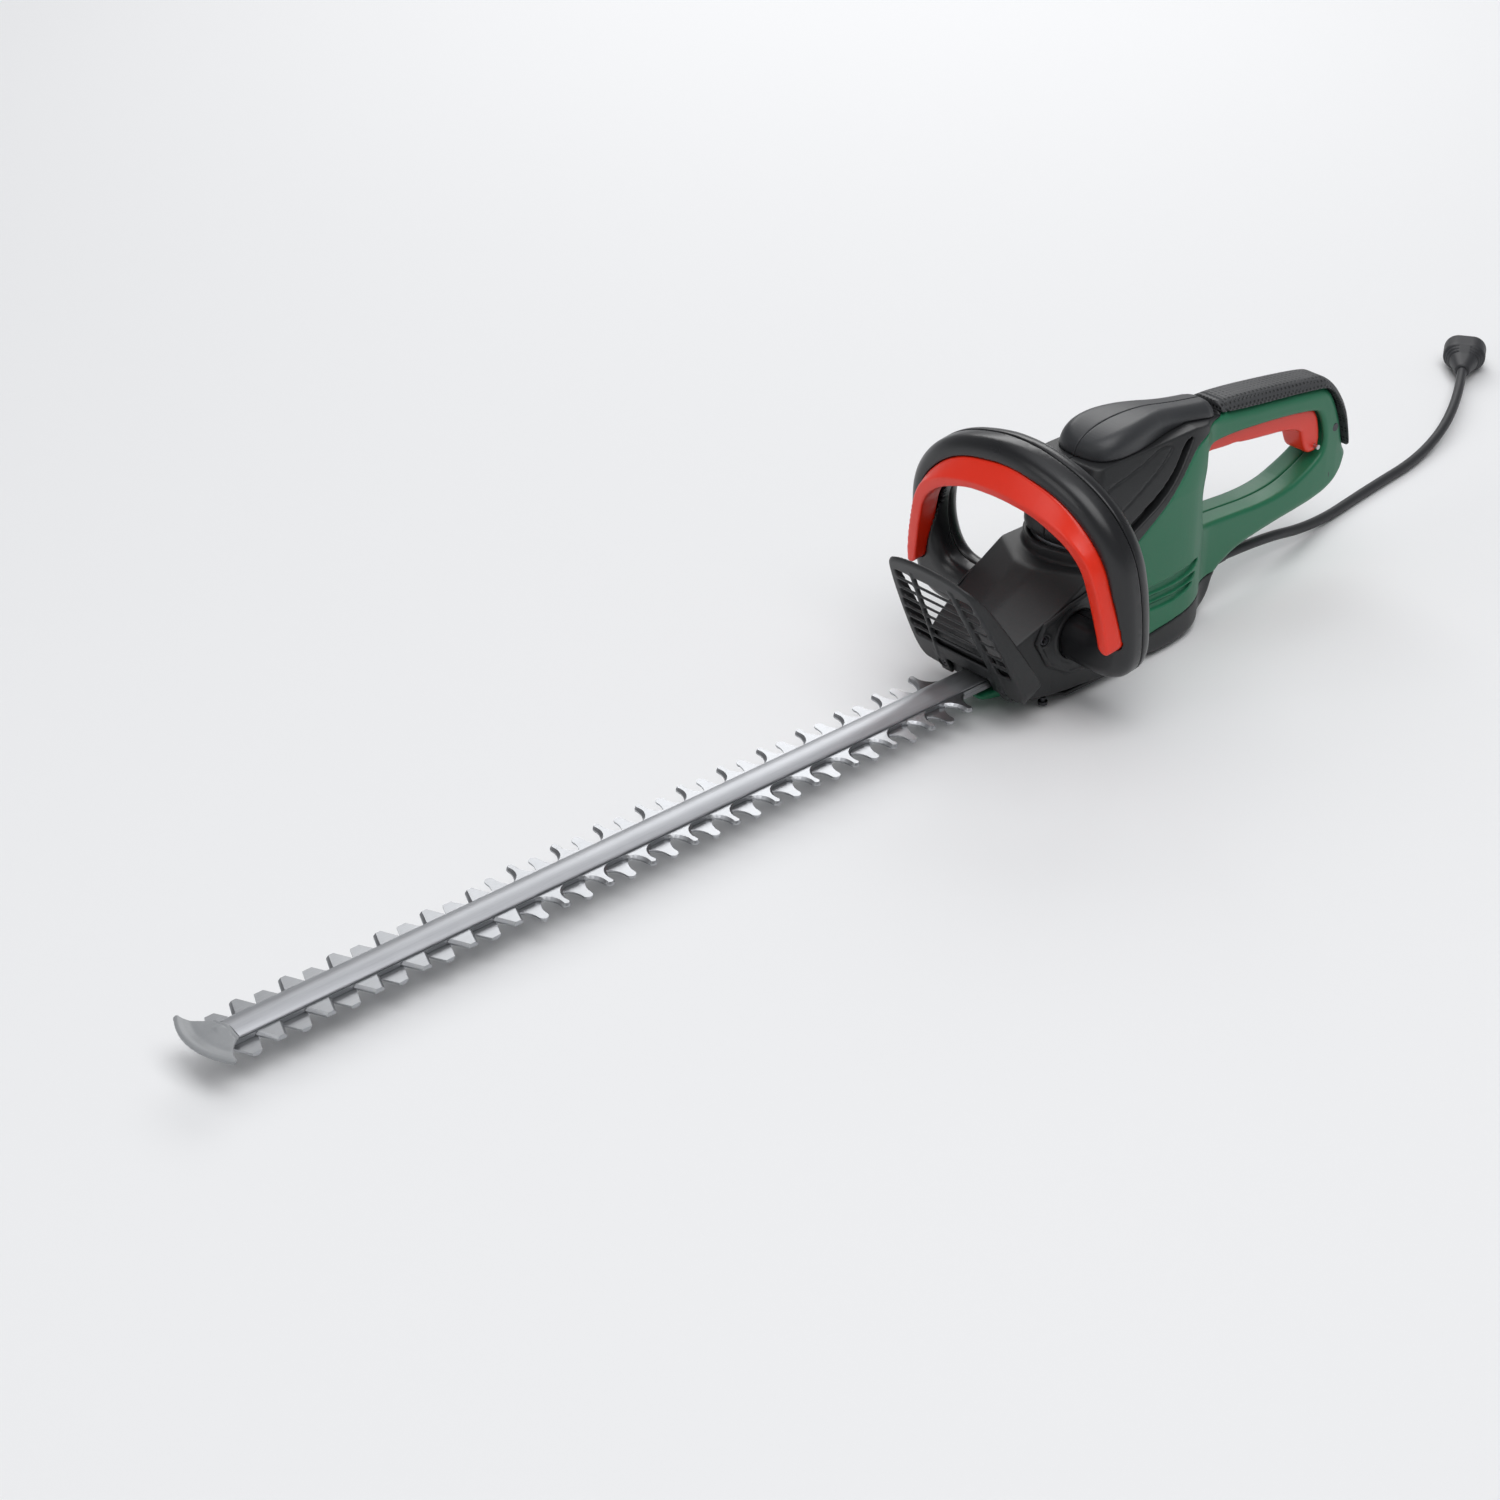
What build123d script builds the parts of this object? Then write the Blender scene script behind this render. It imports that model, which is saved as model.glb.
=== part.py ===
from build123d import *
from math import atan, cos, pi, radians, sin, tan
import os

# Corded hedge trimmer, millimetres, +X towards the rear handle, +Z up.
# The origin is the bottom centre of the tool's box: z = 0 is the surface that it lies on.
os.makedirs("parts", exist_ok=True)

# ---- driving dimensions ----
TOOTH_PITCH = 38.0
TEETH_PER_SIDE = 17
SAW_TEETH = 6
LAST_UPPER_TOOTH_X = 105.0
FINGER_REACH = 31.8
SAW_REACH = 26.1
BLADE_T = 3.0
BLADE_GAP = 0.2
UPPER_TOP_Z = 25.0
BACK_HALF = 12.0
BLADE_TIP_X = -531.0
TRAVEL = 9.5

RAIL_HALF = 11.0
RAIL_H = 4.3
RAIL_TIP_X = -525.0
RAIL_REAR_X = 178.0
BOLT_R = 2.8
BOLT_XS = [-460.0, -350.0, -240.0, -130.0, -20.0, 75.0]
RAIL_FIX_X = 148.0
TIP_SCREW_X = -514.0

MODULE = 1.0
GEAR_TEETH = 66
PINION_TEETH = 9
MOTOR_X = 250.0
CENTRE_DISTANCE = MODULE * (GEAR_TEETH + PINION_TEETH) / 2
GEAR_X = MOTOR_X - CENTRE_DISTANCE
SHAFT_R = 5.0
CRANK_THROW = TRAVEL
CRANK_PIN_R = 4.0
WINDOW_CLEAR = 0.7
RUNNING_FIT = 0.05

HOUSING_HALF = 45.0
HANDLE_HALF = 17.0
HOUSING_REAR_X = 262.0
COLLAR_Z = 110.0
LIP_Z = 173.0

BAIL_X = 199.0
BAIL_Z = 58.0
BAIL_LEAN = 0.12
BAIL_DEPTH = 34.0
BAR_TRAVEL = 4.0

GUARD_LEAN = 0.51
GUARD_X = 138.5
GUARD_Z = 25.5
GUARD_T = 3.0

TRIGGER_HALF = 11.0
TRIGGER_PIVOT = (508.0, 97.0)

CORD_D = 8.4
CORD_EXIT_Z = 28.0

UPPER_Z = UPPER_TOP_Z - BLADE_T
LOWER_Z = UPPER_Z - BLADE_GAP - BLADE_T
RAIL_Z = UPPER_TOP_Z + BLADE_GAP
FRONT_VIEW = Plane.YZ
SIDE_VIEW = Plane(origin=(0, 0, 0), x_dir=(1, 0, 0), z_dir=(0, -1, 0))


# ---- cutting blades: two toothed bars, half a pitch apart at rest ----
def finger_tooth(x):
    """A long tooth with hollow flanks and a round tip, on the +Y side."""
    root, tip, base = 13.0, 3.6, BACK_HALF - 1
    shoulder = FINGER_REACH - 3.6
    with BuildLine() as edge:
        ThreePointArc((x - root, base), (x - 6.4, base + 6.8), (x - tip, shoulder))
        ThreePointArc((x - tip, shoulder), (x, FINGER_REACH), (x + tip, shoulder))
        ThreePointArc((x + tip, shoulder), (x + 6.4, base + 6.8), (x + root, base))
        Line((x + root, base), (x - root, base))
    make_face(edge.edges())


def saw_tooth(x):
    """A short straight-sided tooth with a flat tip, on the +Y side."""
    with BuildLine() as edge:
        Polyline(
            (x - 10.5, BACK_HALF - 1),
            (x - 3.6, SAW_REACH),
            (x + 3.6, SAW_REACH),
            (x + 10.5, BACK_HALF - 1),
            close=True,
        )
    make_face(edge.edges())


def tooth_places(last_x):
    return [last_x - TOOTH_PITCH * n for n in range(TEETH_PER_SIDE)]


WINDOW_LENGTH = 2 * (2 * CRANK_THROW + CRANK_PIN_R + WINDOW_CLEAR)
WINDOW_WIDTH = 2 * (CRANK_THROW + CRANK_PIN_R + WINDOW_CLEAR)
SLOT_WIDTH = 2 * BOLT_R + 0.8


def blade_outline(last_x):
    """The bar with its teeth, the yoke at its rear end, and the slots for the bolts."""
    with Locations(((BLADE_TIP_X + GEAR_X - 24) / 2, 0)):
        Rectangle(GEAR_X - 24 - BLADE_TIP_X, 2 * BACK_HALF)
    with Locations((GEAR_X, 0)):
        SlotOverall(WINDOW_LENGTH + 14, WINDOW_WIDTH + 14)
    for n, x in enumerate(tooth_places(last_x)):
        if n < TEETH_PER_SIDE - SAW_TEETH:
            finger_tooth(x)
        else:
            saw_tooth(x)
    mirror(about=Plane.XZ)
    with Locations((GEAR_X, 0)):
        SlotOverall(WINDOW_LENGTH, WINDOW_WIDTH, mode=Mode.SUBTRACT)
    with Locations([(x, 0) for x in BOLT_XS + [RAIL_FIX_X] + [TIP_SCREW_X]]):
        SlotOverall(2 * TRAVEL + SLOT_WIDTH + 1, SLOT_WIDTH, mode=Mode.SUBTRACT)


with BuildPart() as upper_blade:
    with BuildSketch(Plane.XY.offset(UPPER_Z)):
        blade_outline(LAST_UPPER_TOOTH_X)
    extrude(amount=BLADE_T)

with BuildPart() as lower_blade:
    with BuildSketch(Plane.XY.offset(LOWER_Z)):
        blade_outline(LAST_UPPER_TOOTH_X - TOOTH_PITCH / 2)
    extrude(amount=BLADE_T)

# ---- guide rail, its bolts and the tip protector ----
with BuildPart() as guide_rail:
    with BuildSketch(FRONT_VIEW.offset(RAIL_TIP_X)):
        with BuildLine():
            Polyline(
                (RAIL_HALF, RAIL_Z + 1.2),
                (RAIL_HALF, RAIL_Z),
                (-RAIL_HALF, RAIL_Z),
                (-RAIL_HALF, RAIL_Z + 1.2),
            )
            ThreePointArc((-RAIL_HALF, RAIL_Z + 1.2), (0, RAIL_Z + RAIL_H), (RAIL_HALF, RAIL_Z + 1.2))
        make_face()
    extrude(amount=RAIL_REAR_X - RAIL_TIP_X)
    with BuildSketch(Plane.XY.offset(RAIL_Z)):
        with Locations([(x, 0) for x in BOLT_XS]):
            Circle(BOLT_R)
    extrude(amount=2.6, mode=Mode.SUBTRACT)
    with BuildSketch(Plane.XY.offset(RAIL_Z)):
        with Locations((RAIL_FIX_X, 0)):
            Circle(BOLT_R)
    extrude(amount=RAIL_H + 1, mode=Mode.SUBTRACT)
    with BuildSketch(Plane.XY.offset(RAIL_Z)):
        with Locations((RAIL_TIP_X + 9, 0)):
            Rectangle(18.4, 12.4)
    extrude(amount=2.2, mode=Mode.SUBTRACT)

HEAD_H = 2.6
HEAD_GAP = 0.3


def bolt(x, top_z):
    """A flat-headed bolt under the lower blade, its shank up to top_z."""
    head_z = LOWER_Z - HEAD_GAP - HEAD_H
    with BuildSketch(Plane.XY.offset(head_z)) as head:
        with Locations((x, 0)):
            Circle(6.5)
            RegularPolygon(2.3, 6, mode=Mode.SUBTRACT)
    extrude(head.sketch, amount=HEAD_H - 1)
    with BuildSketch(Plane.XY.offset(head_z + HEAD_H - 1)) as collar:
        with Locations((x, 0)):
            Circle(6.5)
    extrude(collar.sketch, amount=1)
    with BuildSketch(Plane.XY.offset(head_z + HEAD_H)) as shank:
        with Locations((x, 0)):
            Circle(BOLT_R)
    extrude(shank.sketch, amount=top_z - head_z - HEAD_H)


with BuildPart() as blade_bolts:
    for x in BOLT_XS:
        bolt(x, RAIL_Z + 2.6)

with BuildPart() as rail_screw:
    bolt(RAIL_FIX_X, RAIL_Z + RAIL_H + 12)

with BuildPart() as tip_screw:
    bolt(TIP_SCREW_X, RAIL_Z + 2.0)

with BuildPart() as tip_protector:
    with BuildSketch(Plane.XY.offset(RAIL_Z)):
        with BuildLine():
            Line((RAIL_TIP_X - 0.4, -12.5), (RAIL_TIP_X - 0.4, 12.5))
            ThreePointArc((RAIL_TIP_X - 0.4, 12.5), (-534.0, 18.5), (-541.0, 31.5))
            ThreePointArc((-541.0, 31.5), (-543.6, 32.6), (-545.2, 30.4))
            ThreePointArc((-545.2, 30.4), (-554.0, 0), (-545.2, -30.4))
            ThreePointArc((-545.2, -30.4), (-543.6, -32.6), (-541.0, -31.5))
            ThreePointArc((-541.0, -31.5), (-534.0, -18.5), (RAIL_TIP_X - 0.4, -12.5))
        make_face()
    extrude(amount=RAIL_H)
    with BuildSketch(SIDE_VIEW):
        Polygon((-560, 28.4), (-541, 28.4), (-530, 29.6), (-530, 32), (-560, 32), align=None)
    extrude(amount=40, both=True, mode=Mode.SUBTRACT)
    with BuildSketch(Plane.XY.offset(RAIL_Z)):
        with Locations((RAIL_TIP_X + 8, 0)):
            Rectangle(18, 12)
    extrude(amount=2.0)
    with BuildSketch(Plane.XY.offset(RAIL_Z)):
        with Locations((TIP_SCREW_X, 0)):
            Circle(BOLT_R)
    extrude(amount=2.0, mode=Mode.SUBTRACT)

# ---- hand guard: a leaning shield with rows of slots and swept-back wings ----
GUARD_TILT = atan(GUARD_LEAN)
GUARD_PLANE = Plane(
    origin=(GUARD_X, 0, GUARD_Z),
    x_dir=(0, 1, 0),
    z_dir=(cos(GUARD_TILT), 0, sin(GUARD_TILT)),
)
SLOT_ROWS = 7
SLOT_PITCH = 11.8
SLOT_HEIGHT = 8.6
TOP_SLOT_V = 97.0
RIB_HALF = 2.2
GUARD_HALF_OUTLINE = [
    (0, 121), (26, 118.5), (41, 112), (45, 101), (49.5, 76), (53.5, 45), (56, 12), (53, -3),
]
GUARD_FOOT = [(33, -10), (27, -10), (25, 6), (0, 6)]
WING = [(86, 130), (97, 119), (113, 98.5), (153.8, 35.6), (160.7, 25.6), (146, 21), (136, 12), (130, 15)]


def guard_outline():
    half = GUARD_HALF_OUTLINE + GUARD_FOOT
    left = [(-s, v) for s, v in reversed(half[1:-1])]
    Polygon(*half, *left, align=None)


def rib_at(v):
    return 19.7 + (104.3 - v) * 0.124


def grille_at(v):
    return min(38.2 + (97 - v) * 0.2, 48)


with BuildPart() as hand_guard:
    with BuildSketch(GUARD_PLANE):
        guard_outline()
    extrude(amount=26)
    with BuildSketch(GUARD_PLANE.offset(GUARD_T)):
        guard_outline()
        offset(amount=-GUARD_T, mode=Mode.REPLACE)
    extrude(amount=26, mode=Mode.SUBTRACT)
    with BuildSketch(GUARD_PLANE.offset(GUARD_T)):
        with Locations((0, 0)):
            Rectangle(70, 26)
    extrude(amount=26, mode=Mode.SUBTRACT)
    with BuildSketch(SIDE_VIEW):
        Polygon(*WING, align=None)
    extrude(amount=70, both=True, mode=Mode.INTERSECT)
    with BuildSketch(GUARD_PLANE):
        guard_outline()
    extrude(amount=GUARD_T)
    with BuildSketch(GUARD_PLANE):
        for row in range(SLOT_ROWS):
            v = TOP_SLOT_V - row * SLOT_PITCH
            rib, edge = rib_at(v), grille_at(v)
            with Locations((0, v)):
                Rectangle(2 * (rib - RIB_HALF), SLOT_HEIGHT)
            middle = (rib + RIB_HALF + edge) / 2
            with Locations([(middle, v), (-middle, v)]):
                Rectangle(edge - rib - RIB_HALF, SLOT_HEIGHT)
    extrude(amount=GUARD_T, mode=Mode.SUBTRACT)
    with BuildSketch(GUARD_PLANE):
        with Locations([(30, -1), (-30, -1)]):
            Circle(2.2)
    extrude(amount=GUARD_T, mode=Mode.SUBTRACT)

with BuildPart() as guard_screws:
    with BuildSketch(GUARD_PLANE):
        with Locations([(30, -1), (-30, -1)]):
            Circle(2.2)
    extrude(amount=GUARD_T + 8)
    with BuildSketch(GUARD_PLANE):
        with Locations([(30, -1), (-30, -1)]):
            Circle(3.8)
    extrude(amount=-2)

# ---- gear housing, its bottom cover and the side covers ----
HOUSING_SIDE = [
    (145.9, 18), (232, 8), (262, 8), (262, COLLAR_Z), (208, COLLAR_Z), (205, 107), (122.4, 64),
]
HOUSING_PLAN = [(118, 30), (140, 38), (176, 44), (195, HOUSING_HALF), (262, HOUSING_HALF)]
SIDE_SCREW = (166, 63)
COVER_PLATE = [(152.5, 72), (203, 90), (232, 88), (232, 22), (176, 30)]
SIDE_COVER_T = 1.6
SLOPE_NORMAL = (-0.458, 0.287, 0.841)
GEAR_ROOM_X = 171.0
GEAR_ROOM_HALF = 39.0
GEAR_ROOM_TOP = 50.0
POD_BORE_R = 39.5


def plan_polygon(half, grow=0.0):
    """A plan outline from its half, the same on both sides of the centre plane."""
    upper = [(x, y + grow) for x, y in half]
    lower = [(x, -y - grow) for x, y in reversed(half)]
    Polygon(*upper, *lower, align=None)


def side_screw_shanks(mode):
    for y in (46, -36):
        with BuildSketch(Plane(origin=(0, y, 0), x_dir=(1, 0, 0), z_dir=(0, -1, 0))) as shank:
            with Locations(SIDE_SCREW):
                Circle(2)
        extrude(shank.sketch, amount=10, mode=mode)


with BuildPart() as gear_housing:
    with BuildSketch(SIDE_VIEW):
        Polygon(*HOUSING_SIDE, align=None)
    extrude(amount=60, both=True)
    with BuildSketch():
        plan_polygon(HOUSING_PLAN)
    extrude(amount=160, mode=Mode.INTERSECT)
    nx, ny, nz = SLOPE_NORMAL
    split(bisect_by=Plane(origin=(205, 12, 107), z_dir=(nx, ny, nz)), keep=Keep.BOTTOM)
    split(bisect_by=Plane(origin=(205, -12, 107), z_dir=(nx, -ny, nz)), keep=Keep.BOTTOM)
    with BuildSketch(Plane.XY.offset(98)):
        with Locations((MOTOR_X, 0)):
            Circle(43.5)
        with Locations((HOUSING_REAR_X + 30, 0)):
            Rectangle(60, 120, mode=Mode.SUBTRACT)
    extrude(amount=COLLAR_Z - 98)
    with BuildSketch():
        with Locations(((GEAR_ROOM_X + 270) / 2, 0)):
            Rectangle(270 - GEAR_ROOM_X, 2 * GEAR_ROOM_HALF)
    extrude(amount=GEAR_ROOM_TOP, mode=Mode.SUBTRACT)
    with BuildSketch(Plane.XY.offset(GEAR_ROOM_TOP)):
        with Locations((MOTOR_X, 0)):
            Circle(POD_BORE_R)
    extrude(amount=COLLAR_Z, mode=Mode.SUBTRACT)
    with BuildSketch(FRONT_VIEW.offset(110)):
        with Locations((0, 22.5)):
            Rectangle(26, 15.4)
    extrude(amount=GEAR_ROOM_X - 110 + 1, mode=Mode.SUBTRACT)
    with BuildSketch():
        with Locations((RAIL_FIX_X, 0)):
            Circle(BOLT_R)
    extrude(amount=RAIL_Z + RAIL_H + 12, mode=Mode.SUBTRACT)
    with BuildSketch():
        with Locations((RAIL_FIX_X, 0)):
            Rectangle(36, 26)
    extrude(amount=RAIL_Z, mode=Mode.SUBTRACT)
    with BuildSketch(GUARD_PLANE.offset(GUARD_T)):
        with Locations([(30, -1), (-30, -1)]):
            Circle(2.2)
    extrude(amount=8, mode=Mode.SUBTRACT)
    add(hand_guard.part, mode=Mode.SUBTRACT)
    side_screw_shanks(Mode.SUBTRACT)

COVER_KEEL = [
    (133, 15.4), (170, 13.2), (200, 7.7), (262, 7.7), (262, 0), (196, 0), (150, 8), (133, 12.4),
]
COVER_SCREWS = [(178, 35), (178, -35), (252, 35), (252, -35)]

with BuildPart() as gear_cover:
    with BuildSketch(Plane.XY.offset(4.5)):
        with Locations(((GEAR_ROOM_X + HOUSING_REAR_X) / 2, 0)):
            RectangleRounded(HOUSING_REAR_X - GEAR_ROOM_X, 2 * GEAR_ROOM_HALF + 6, 6)
    extrude(amount=3.2)
    with BuildSketch(SIDE_VIEW):
        Polygon(*COVER_KEEL, align=None)
    extrude(amount=14, both=True)
    with BuildSketch():
        with Locations((GEAR_X, 0)):
            Circle(18)
    extrude(amount=12, mode=Mode.SUBTRACT)
    with BuildSketch(Plane.XY.offset(3)):
        with Locations((GEAR_X, 0)):
            Circle(18)
            Circle(SHAFT_R + RUNNING_FIT, mode=Mode.SUBTRACT)
    extrude(amount=8)
    with BuildSketch(Plane.XY.offset(2)):
        with Locations((GEAR_X, 0)):
            Circle(18)
    extrude(amount=1)
    with BuildSketch():
        with Locations(COVER_SCREWS):
            Circle(2)
    extrude(amount=20, mode=Mode.SUBTRACT)

with BuildPart() as cover_screws:
    with BuildSketch(Plane.XY.offset(4.5)):
        with Locations(COVER_SCREWS):
            Circle(2)
    extrude(amount=3.2)
    with BuildSketch(Plane.XY.offset(2.3)):
        with Locations(COVER_SCREWS):
            Circle(3.6)
    extrude(amount=2.2)

side_covers = {}
for side, sign in (("left", -1), ("right", 1)):
    with BuildPart() as side_cover:
        with BuildSketch(SIDE_VIEW):
            Polygon(*COVER_PLATE, align=None)
        extrude(amount=-60 * sign)
        with BuildSketch():
            plan_polygon(HOUSING_PLAN, SIDE_COVER_T)
        extrude(amount=160, mode=Mode.INTERSECT)
        with BuildSketch():
            plan_polygon(HOUSING_PLAN)
        extrude(amount=160, mode=Mode.SUBTRACT)
        with BuildSketch(SIDE_VIEW):
            with Locations(SIDE_SCREW):
                Circle(2)
            with Locations((BAIL_X, BAIL_Z)):
                Circle(22.7)
        extrude(amount=60, both=True, mode=Mode.SUBTRACT)
    side_covers[side] = side_cover

with BuildPart() as side_screws:
    side_screw_shanks(Mode.ADD)

# ---- gear train: pinion, drive gear with its crank pin, lower crank and shaft ----
GEAR_Z = UPPER_TOP_Z + 1.5
GEAR_T = 8.0
GEAR_ROOT_R = MODULE * GEAR_TEETH / 2 - 1.25
GEAR_TIP_R = MODULE * GEAR_TEETH / 2 + 0.95
PINION_ROOT_R = MODULE * PINION_TEETH / 2 - 1.3
PINION_TIP_R = MODULE * PINION_TEETH / 2 + 0.9
CRANK_DISC_R = 16.0
CRANK_DISC_Z = 12.0


def toothed_disc(teeth, root_r, tip_r, root_w, tip_w, start):
    Circle(root_r)
    with PolarLocations(0, teeth, start_angle=start):
        Polygon(
            (root_r - 0.5, -root_w / 2),
            (tip_r, -tip_w / 2),
            (tip_r, tip_w / 2),
            (root_r - 0.5, root_w / 2),
            align=None,
        )


with BuildPart() as drive_gear:
    with BuildSketch(Plane(origin=(GEAR_X, 0, GEAR_Z))):
        toothed_disc(GEAR_TEETH, GEAR_ROOT_R, GEAR_TIP_R, 1.9, 0.6, 0)
        Circle(SHAFT_R, mode=Mode.SUBTRACT)
        with PolarLocations(21, 6, start_angle=30):
            Circle(6, mode=Mode.SUBTRACT)
    extrude(amount=GEAR_T)
    with BuildSketch(Plane(origin=(GEAR_X, 0, GEAR_Z))):
        with Locations((CRANK_THROW, 0)):
            Circle(CRANK_PIN_R)
    extrude(amount=UPPER_Z + 0.2 - GEAR_Z)

with BuildPart() as lower_crank:
    with BuildSketch(Plane(origin=(GEAR_X, 0, CRANK_DISC_Z))):
        Circle(CRANK_DISC_R)
        Circle(SHAFT_R, mode=Mode.SUBTRACT)
    extrude(amount=5.5)
    with BuildSketch(Plane(origin=(GEAR_X, 0, CRANK_DISC_Z + 5.5))):
        with Locations((-CRANK_THROW, 0)):
            Circle(CRANK_PIN_R)
    extrude(amount=LOWER_Z + BLADE_T - 0.2 - CRANK_DISC_Z - 5.5)

with BuildPart() as gear_shaft:
    with BuildSketch(Plane(origin=(GEAR_X, 0, 4))):
        Circle(SHAFT_R)
    extrude(amount=42)

with BuildPart() as bearing_bracket:
    with BuildSketch(Plane.XY.offset(38)):
        with Locations((226, 0)):
            RectangleRounded(70, 2 * GEAR_ROOM_HALF, 8)
        with Locations((GEAR_X, 0)):
            Circle(8, mode=Mode.SUBTRACT)
        with Locations((MOTOR_X, 0)):
            Circle(9, mode=Mode.SUBTRACT)
    extrude(amount=9)

with BuildPart() as gear_bush:
    with BuildSketch(Plane(origin=(GEAR_X, 0, 38))):
        Circle(8)
        Circle(SHAFT_R + RUNNING_FIT, mode=Mode.SUBTRACT)
    extrude(amount=9)

# ---- motor: shaft upright over the gear train ----
MOTOR_SHAFT_R = 4.0
PINION_BORE_R = 2.0
GEAR_PHASE = 180 / PINION_TEETH
BEARING_R = 9.0

with BuildPart() as pinion:
    with BuildSketch(Plane(origin=(MOTOR_X, 0, GEAR_Z))):
        toothed_disc(PINION_TEETH, PINION_ROOT_R, PINION_TIP_R, 1.5, 0.5, 180 + GEAR_PHASE)
        Circle(PINION_BORE_R, mode=Mode.SUBTRACT)
    extrude(amount=GEAR_T + 1.5)

with BuildPart() as motor_shaft:
    with BuildSketch(Plane(origin=(MOTOR_X, 0, GEAR_Z))):
        Circle(PINION_BORE_R)
    extrude(amount=10)
    with BuildSketch(Plane(origin=(MOTOR_X, 0, GEAR_Z + 10))):
        Circle(MOTOR_SHAFT_R)
    extrude(amount=156 - GEAR_Z - 10)


def ring(centre_x, z, height, outer_r, inner_r):
    with BuildSketch(Plane(origin=(centre_x, 0, z))) as face:
        Circle(outer_r)
        Circle(inner_r, mode=Mode.SUBTRACT)
    extrude(face.sketch, amount=height)


with BuildPart() as motor_bearings:
    for z in (38.5, 146.0):
        ring(MOTOR_X, z, 8, BEARING_R, MOTOR_SHAFT_R + RUNNING_FIT)

with BuildPart() as cooling_fan:
    ring(MOTOR_X, 52, 2, 35, MOTOR_SHAFT_R)
    ring(MOTOR_X, 52, 9, 9, MOTOR_SHAFT_R)
    with BuildSketch(Plane(origin=(MOTOR_X, 0, 54))):
        with PolarLocations(21, 12):
            Rectangle(25, 1.6)
    extrude(amount=7)

with BuildPart() as armature_core:
    ring(MOTOR_X, 72, 40, 22, MOTOR_SHAFT_R)
    with BuildSketch(Plane(origin=(MOTOR_X, 0, 72))):
        with PolarLocations(20, 12):
            SlotOverall(9, 2.4, mode=Mode.ADD)
    extrude(amount=40, mode=Mode.SUBTRACT)

with BuildPart() as armature_windings:
    for z in (64.0, 112.0):
        ring(MOTOR_X, z, 6, 19, MOTOR_SHAFT_R)

with BuildPart() as commutator:
    ring(MOTOR_X, 120, 14, 12, MOTOR_SHAFT_R)

COIL_Y = 28.0
with BuildPart() as stator_core:
    ring(MOTOR_X, 72, 40, 38, 22.6)
    with BuildSketch(Plane(origin=(MOTOR_X, 0, 72))):
        with Locations([(0, COIL_Y), (0, -COIL_Y)]):
            Rectangle(30.8, 6.8)
    extrude(amount=40, mode=Mode.SUBTRACT)

with BuildPart() as field_coils:
    with BuildSketch(Plane(origin=(MOTOR_X, 0, 65))):
        with Locations([(0, COIL_Y), (0, -COIL_Y)]):
            Rectangle(30, 6)
    extrude(amount=51)

with BuildPart() as brush_holders:
    with BuildSketch(Plane(origin=(MOTOR_X, 0, 122))):
        with Locations([(0, 20.5), (0, -20.5)]):
            Rectangle(9, 13)
    extrude(amount=10)
    with BuildSketch(Plane(origin=(MOTOR_X, 0, 123.5))):
        with Locations([(0, 20.5), (0, -20.5)]):
            Rectangle(6, 13)
    extrude(amount=7, mode=Mode.SUBTRACT)

with BuildPart() as carbon_brushes:
    with BuildSketch(Plane(origin=(MOTOR_X, 0, 123.5))):
        with Locations([(0, 18.4), (0, -18.4)]):
            Rectangle(5.8, 12)
    extrude(amount=7)

# ---- motor body and rear handle: two clamshell halves in each colour ----
BODY_SIDE = [
    (206, COLLAR_Z), (212, 140), (237, LIP_Z), (340, LIP_Z), (383, 163), (498, 149), (515, 143), (526, 131),
    (537, 100), (541, 84), (554, 79), (549, 66), (538, 56), (518, 51), (464, 47), (419, 41), (403, 35),
    (390, 28), (384, 12), (372, 3), (345, 0), (HOUSING_REAR_X, 0), (HOUSING_REAR_X, COLLAR_Z),
]
BODY_PLAN = [(250, 42.5), (325, 41), (350, 32), (368, 21), (384, HANDLE_HALF), (556, HANDLE_HALF)]
BODY_FRONT = [
    (-43, -1), (43, -1), (43, 128), (31, LIP_Z), (31, 200), (-31, 200), (-31, LIP_Z), (-43, 128),
]
FINGER_GAP = [
    (350, 119), (367, 137), (376, 145), (497, 133), (509, 122), (516, 93), (498, 84),
    (462, 70), (386, 76), (366, 78), (356, 93),
]
HOOD_ZONE = [
    (200, 100), (HOUSING_REAR_X, 103), (304, 134), (350, 150), (378, 168), (378, 180), (200, 180),
]
BASE_ZONE = [
    (HOUSING_REAR_X - 1, -1), (400, -1), (400, 31), (384, 31), (336, 27),
    (HOUSING_REAR_X - 1, 20),
]
TRIGGER_SIDE = [
    (362, 134), (374, 149), (499, 137), (512, 124), (513, 93), (503, 92), (498, 98),
    (491, 104), (487, 120), (421, 128), (411, 131), (375, 135), (365, 129),
]
TRIGGER_ROOM = [
    (352, 133), (366, 160), (503, 143), (519, 127), (520, 86), (497, 85), (480, 110), (376, 120),
    (356, 116),
]
SHELL_SCREWS = [
    (272, 30, 42), (350, 45, 32), (318, 130, 40), (440, 151.5, HANDLE_HALF),
    (528, 108, HANDLE_HALF), (432, 58, HANDLE_HALF), (522, 68, HANDLE_HALF),
]


PIN_R = 2.0
PIN_HALF = 15.0


MOTOR_ROOM = [
    (250, 3), (340, 3), (366, 8), (372, 26), (360, 50), (346, 60), (343, 118), (330, 125), (290, 116),
    (250, 116),
]


def screw_holes(mode, clearance=0.0):
    """Screws put in from the -Y side: a shank across the seam and a sunken head."""
    for x, z, half in SHELL_SCREWS:
        with BuildSketch(SIDE_VIEW.offset(half - 4)) as head:
            with Locations((x, z)):
                Circle(3.4 + clearance)
        extrude(head.sketch, amount=1.8 + 5 * clearance, mode=mode)
        with BuildSketch(SIDE_VIEW.offset(6 - half)) as shank:
            with Locations((x, z)):
                Circle(2)
        extrude(shank.sketch, amount=2 * half - 10, mode=mode)


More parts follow.
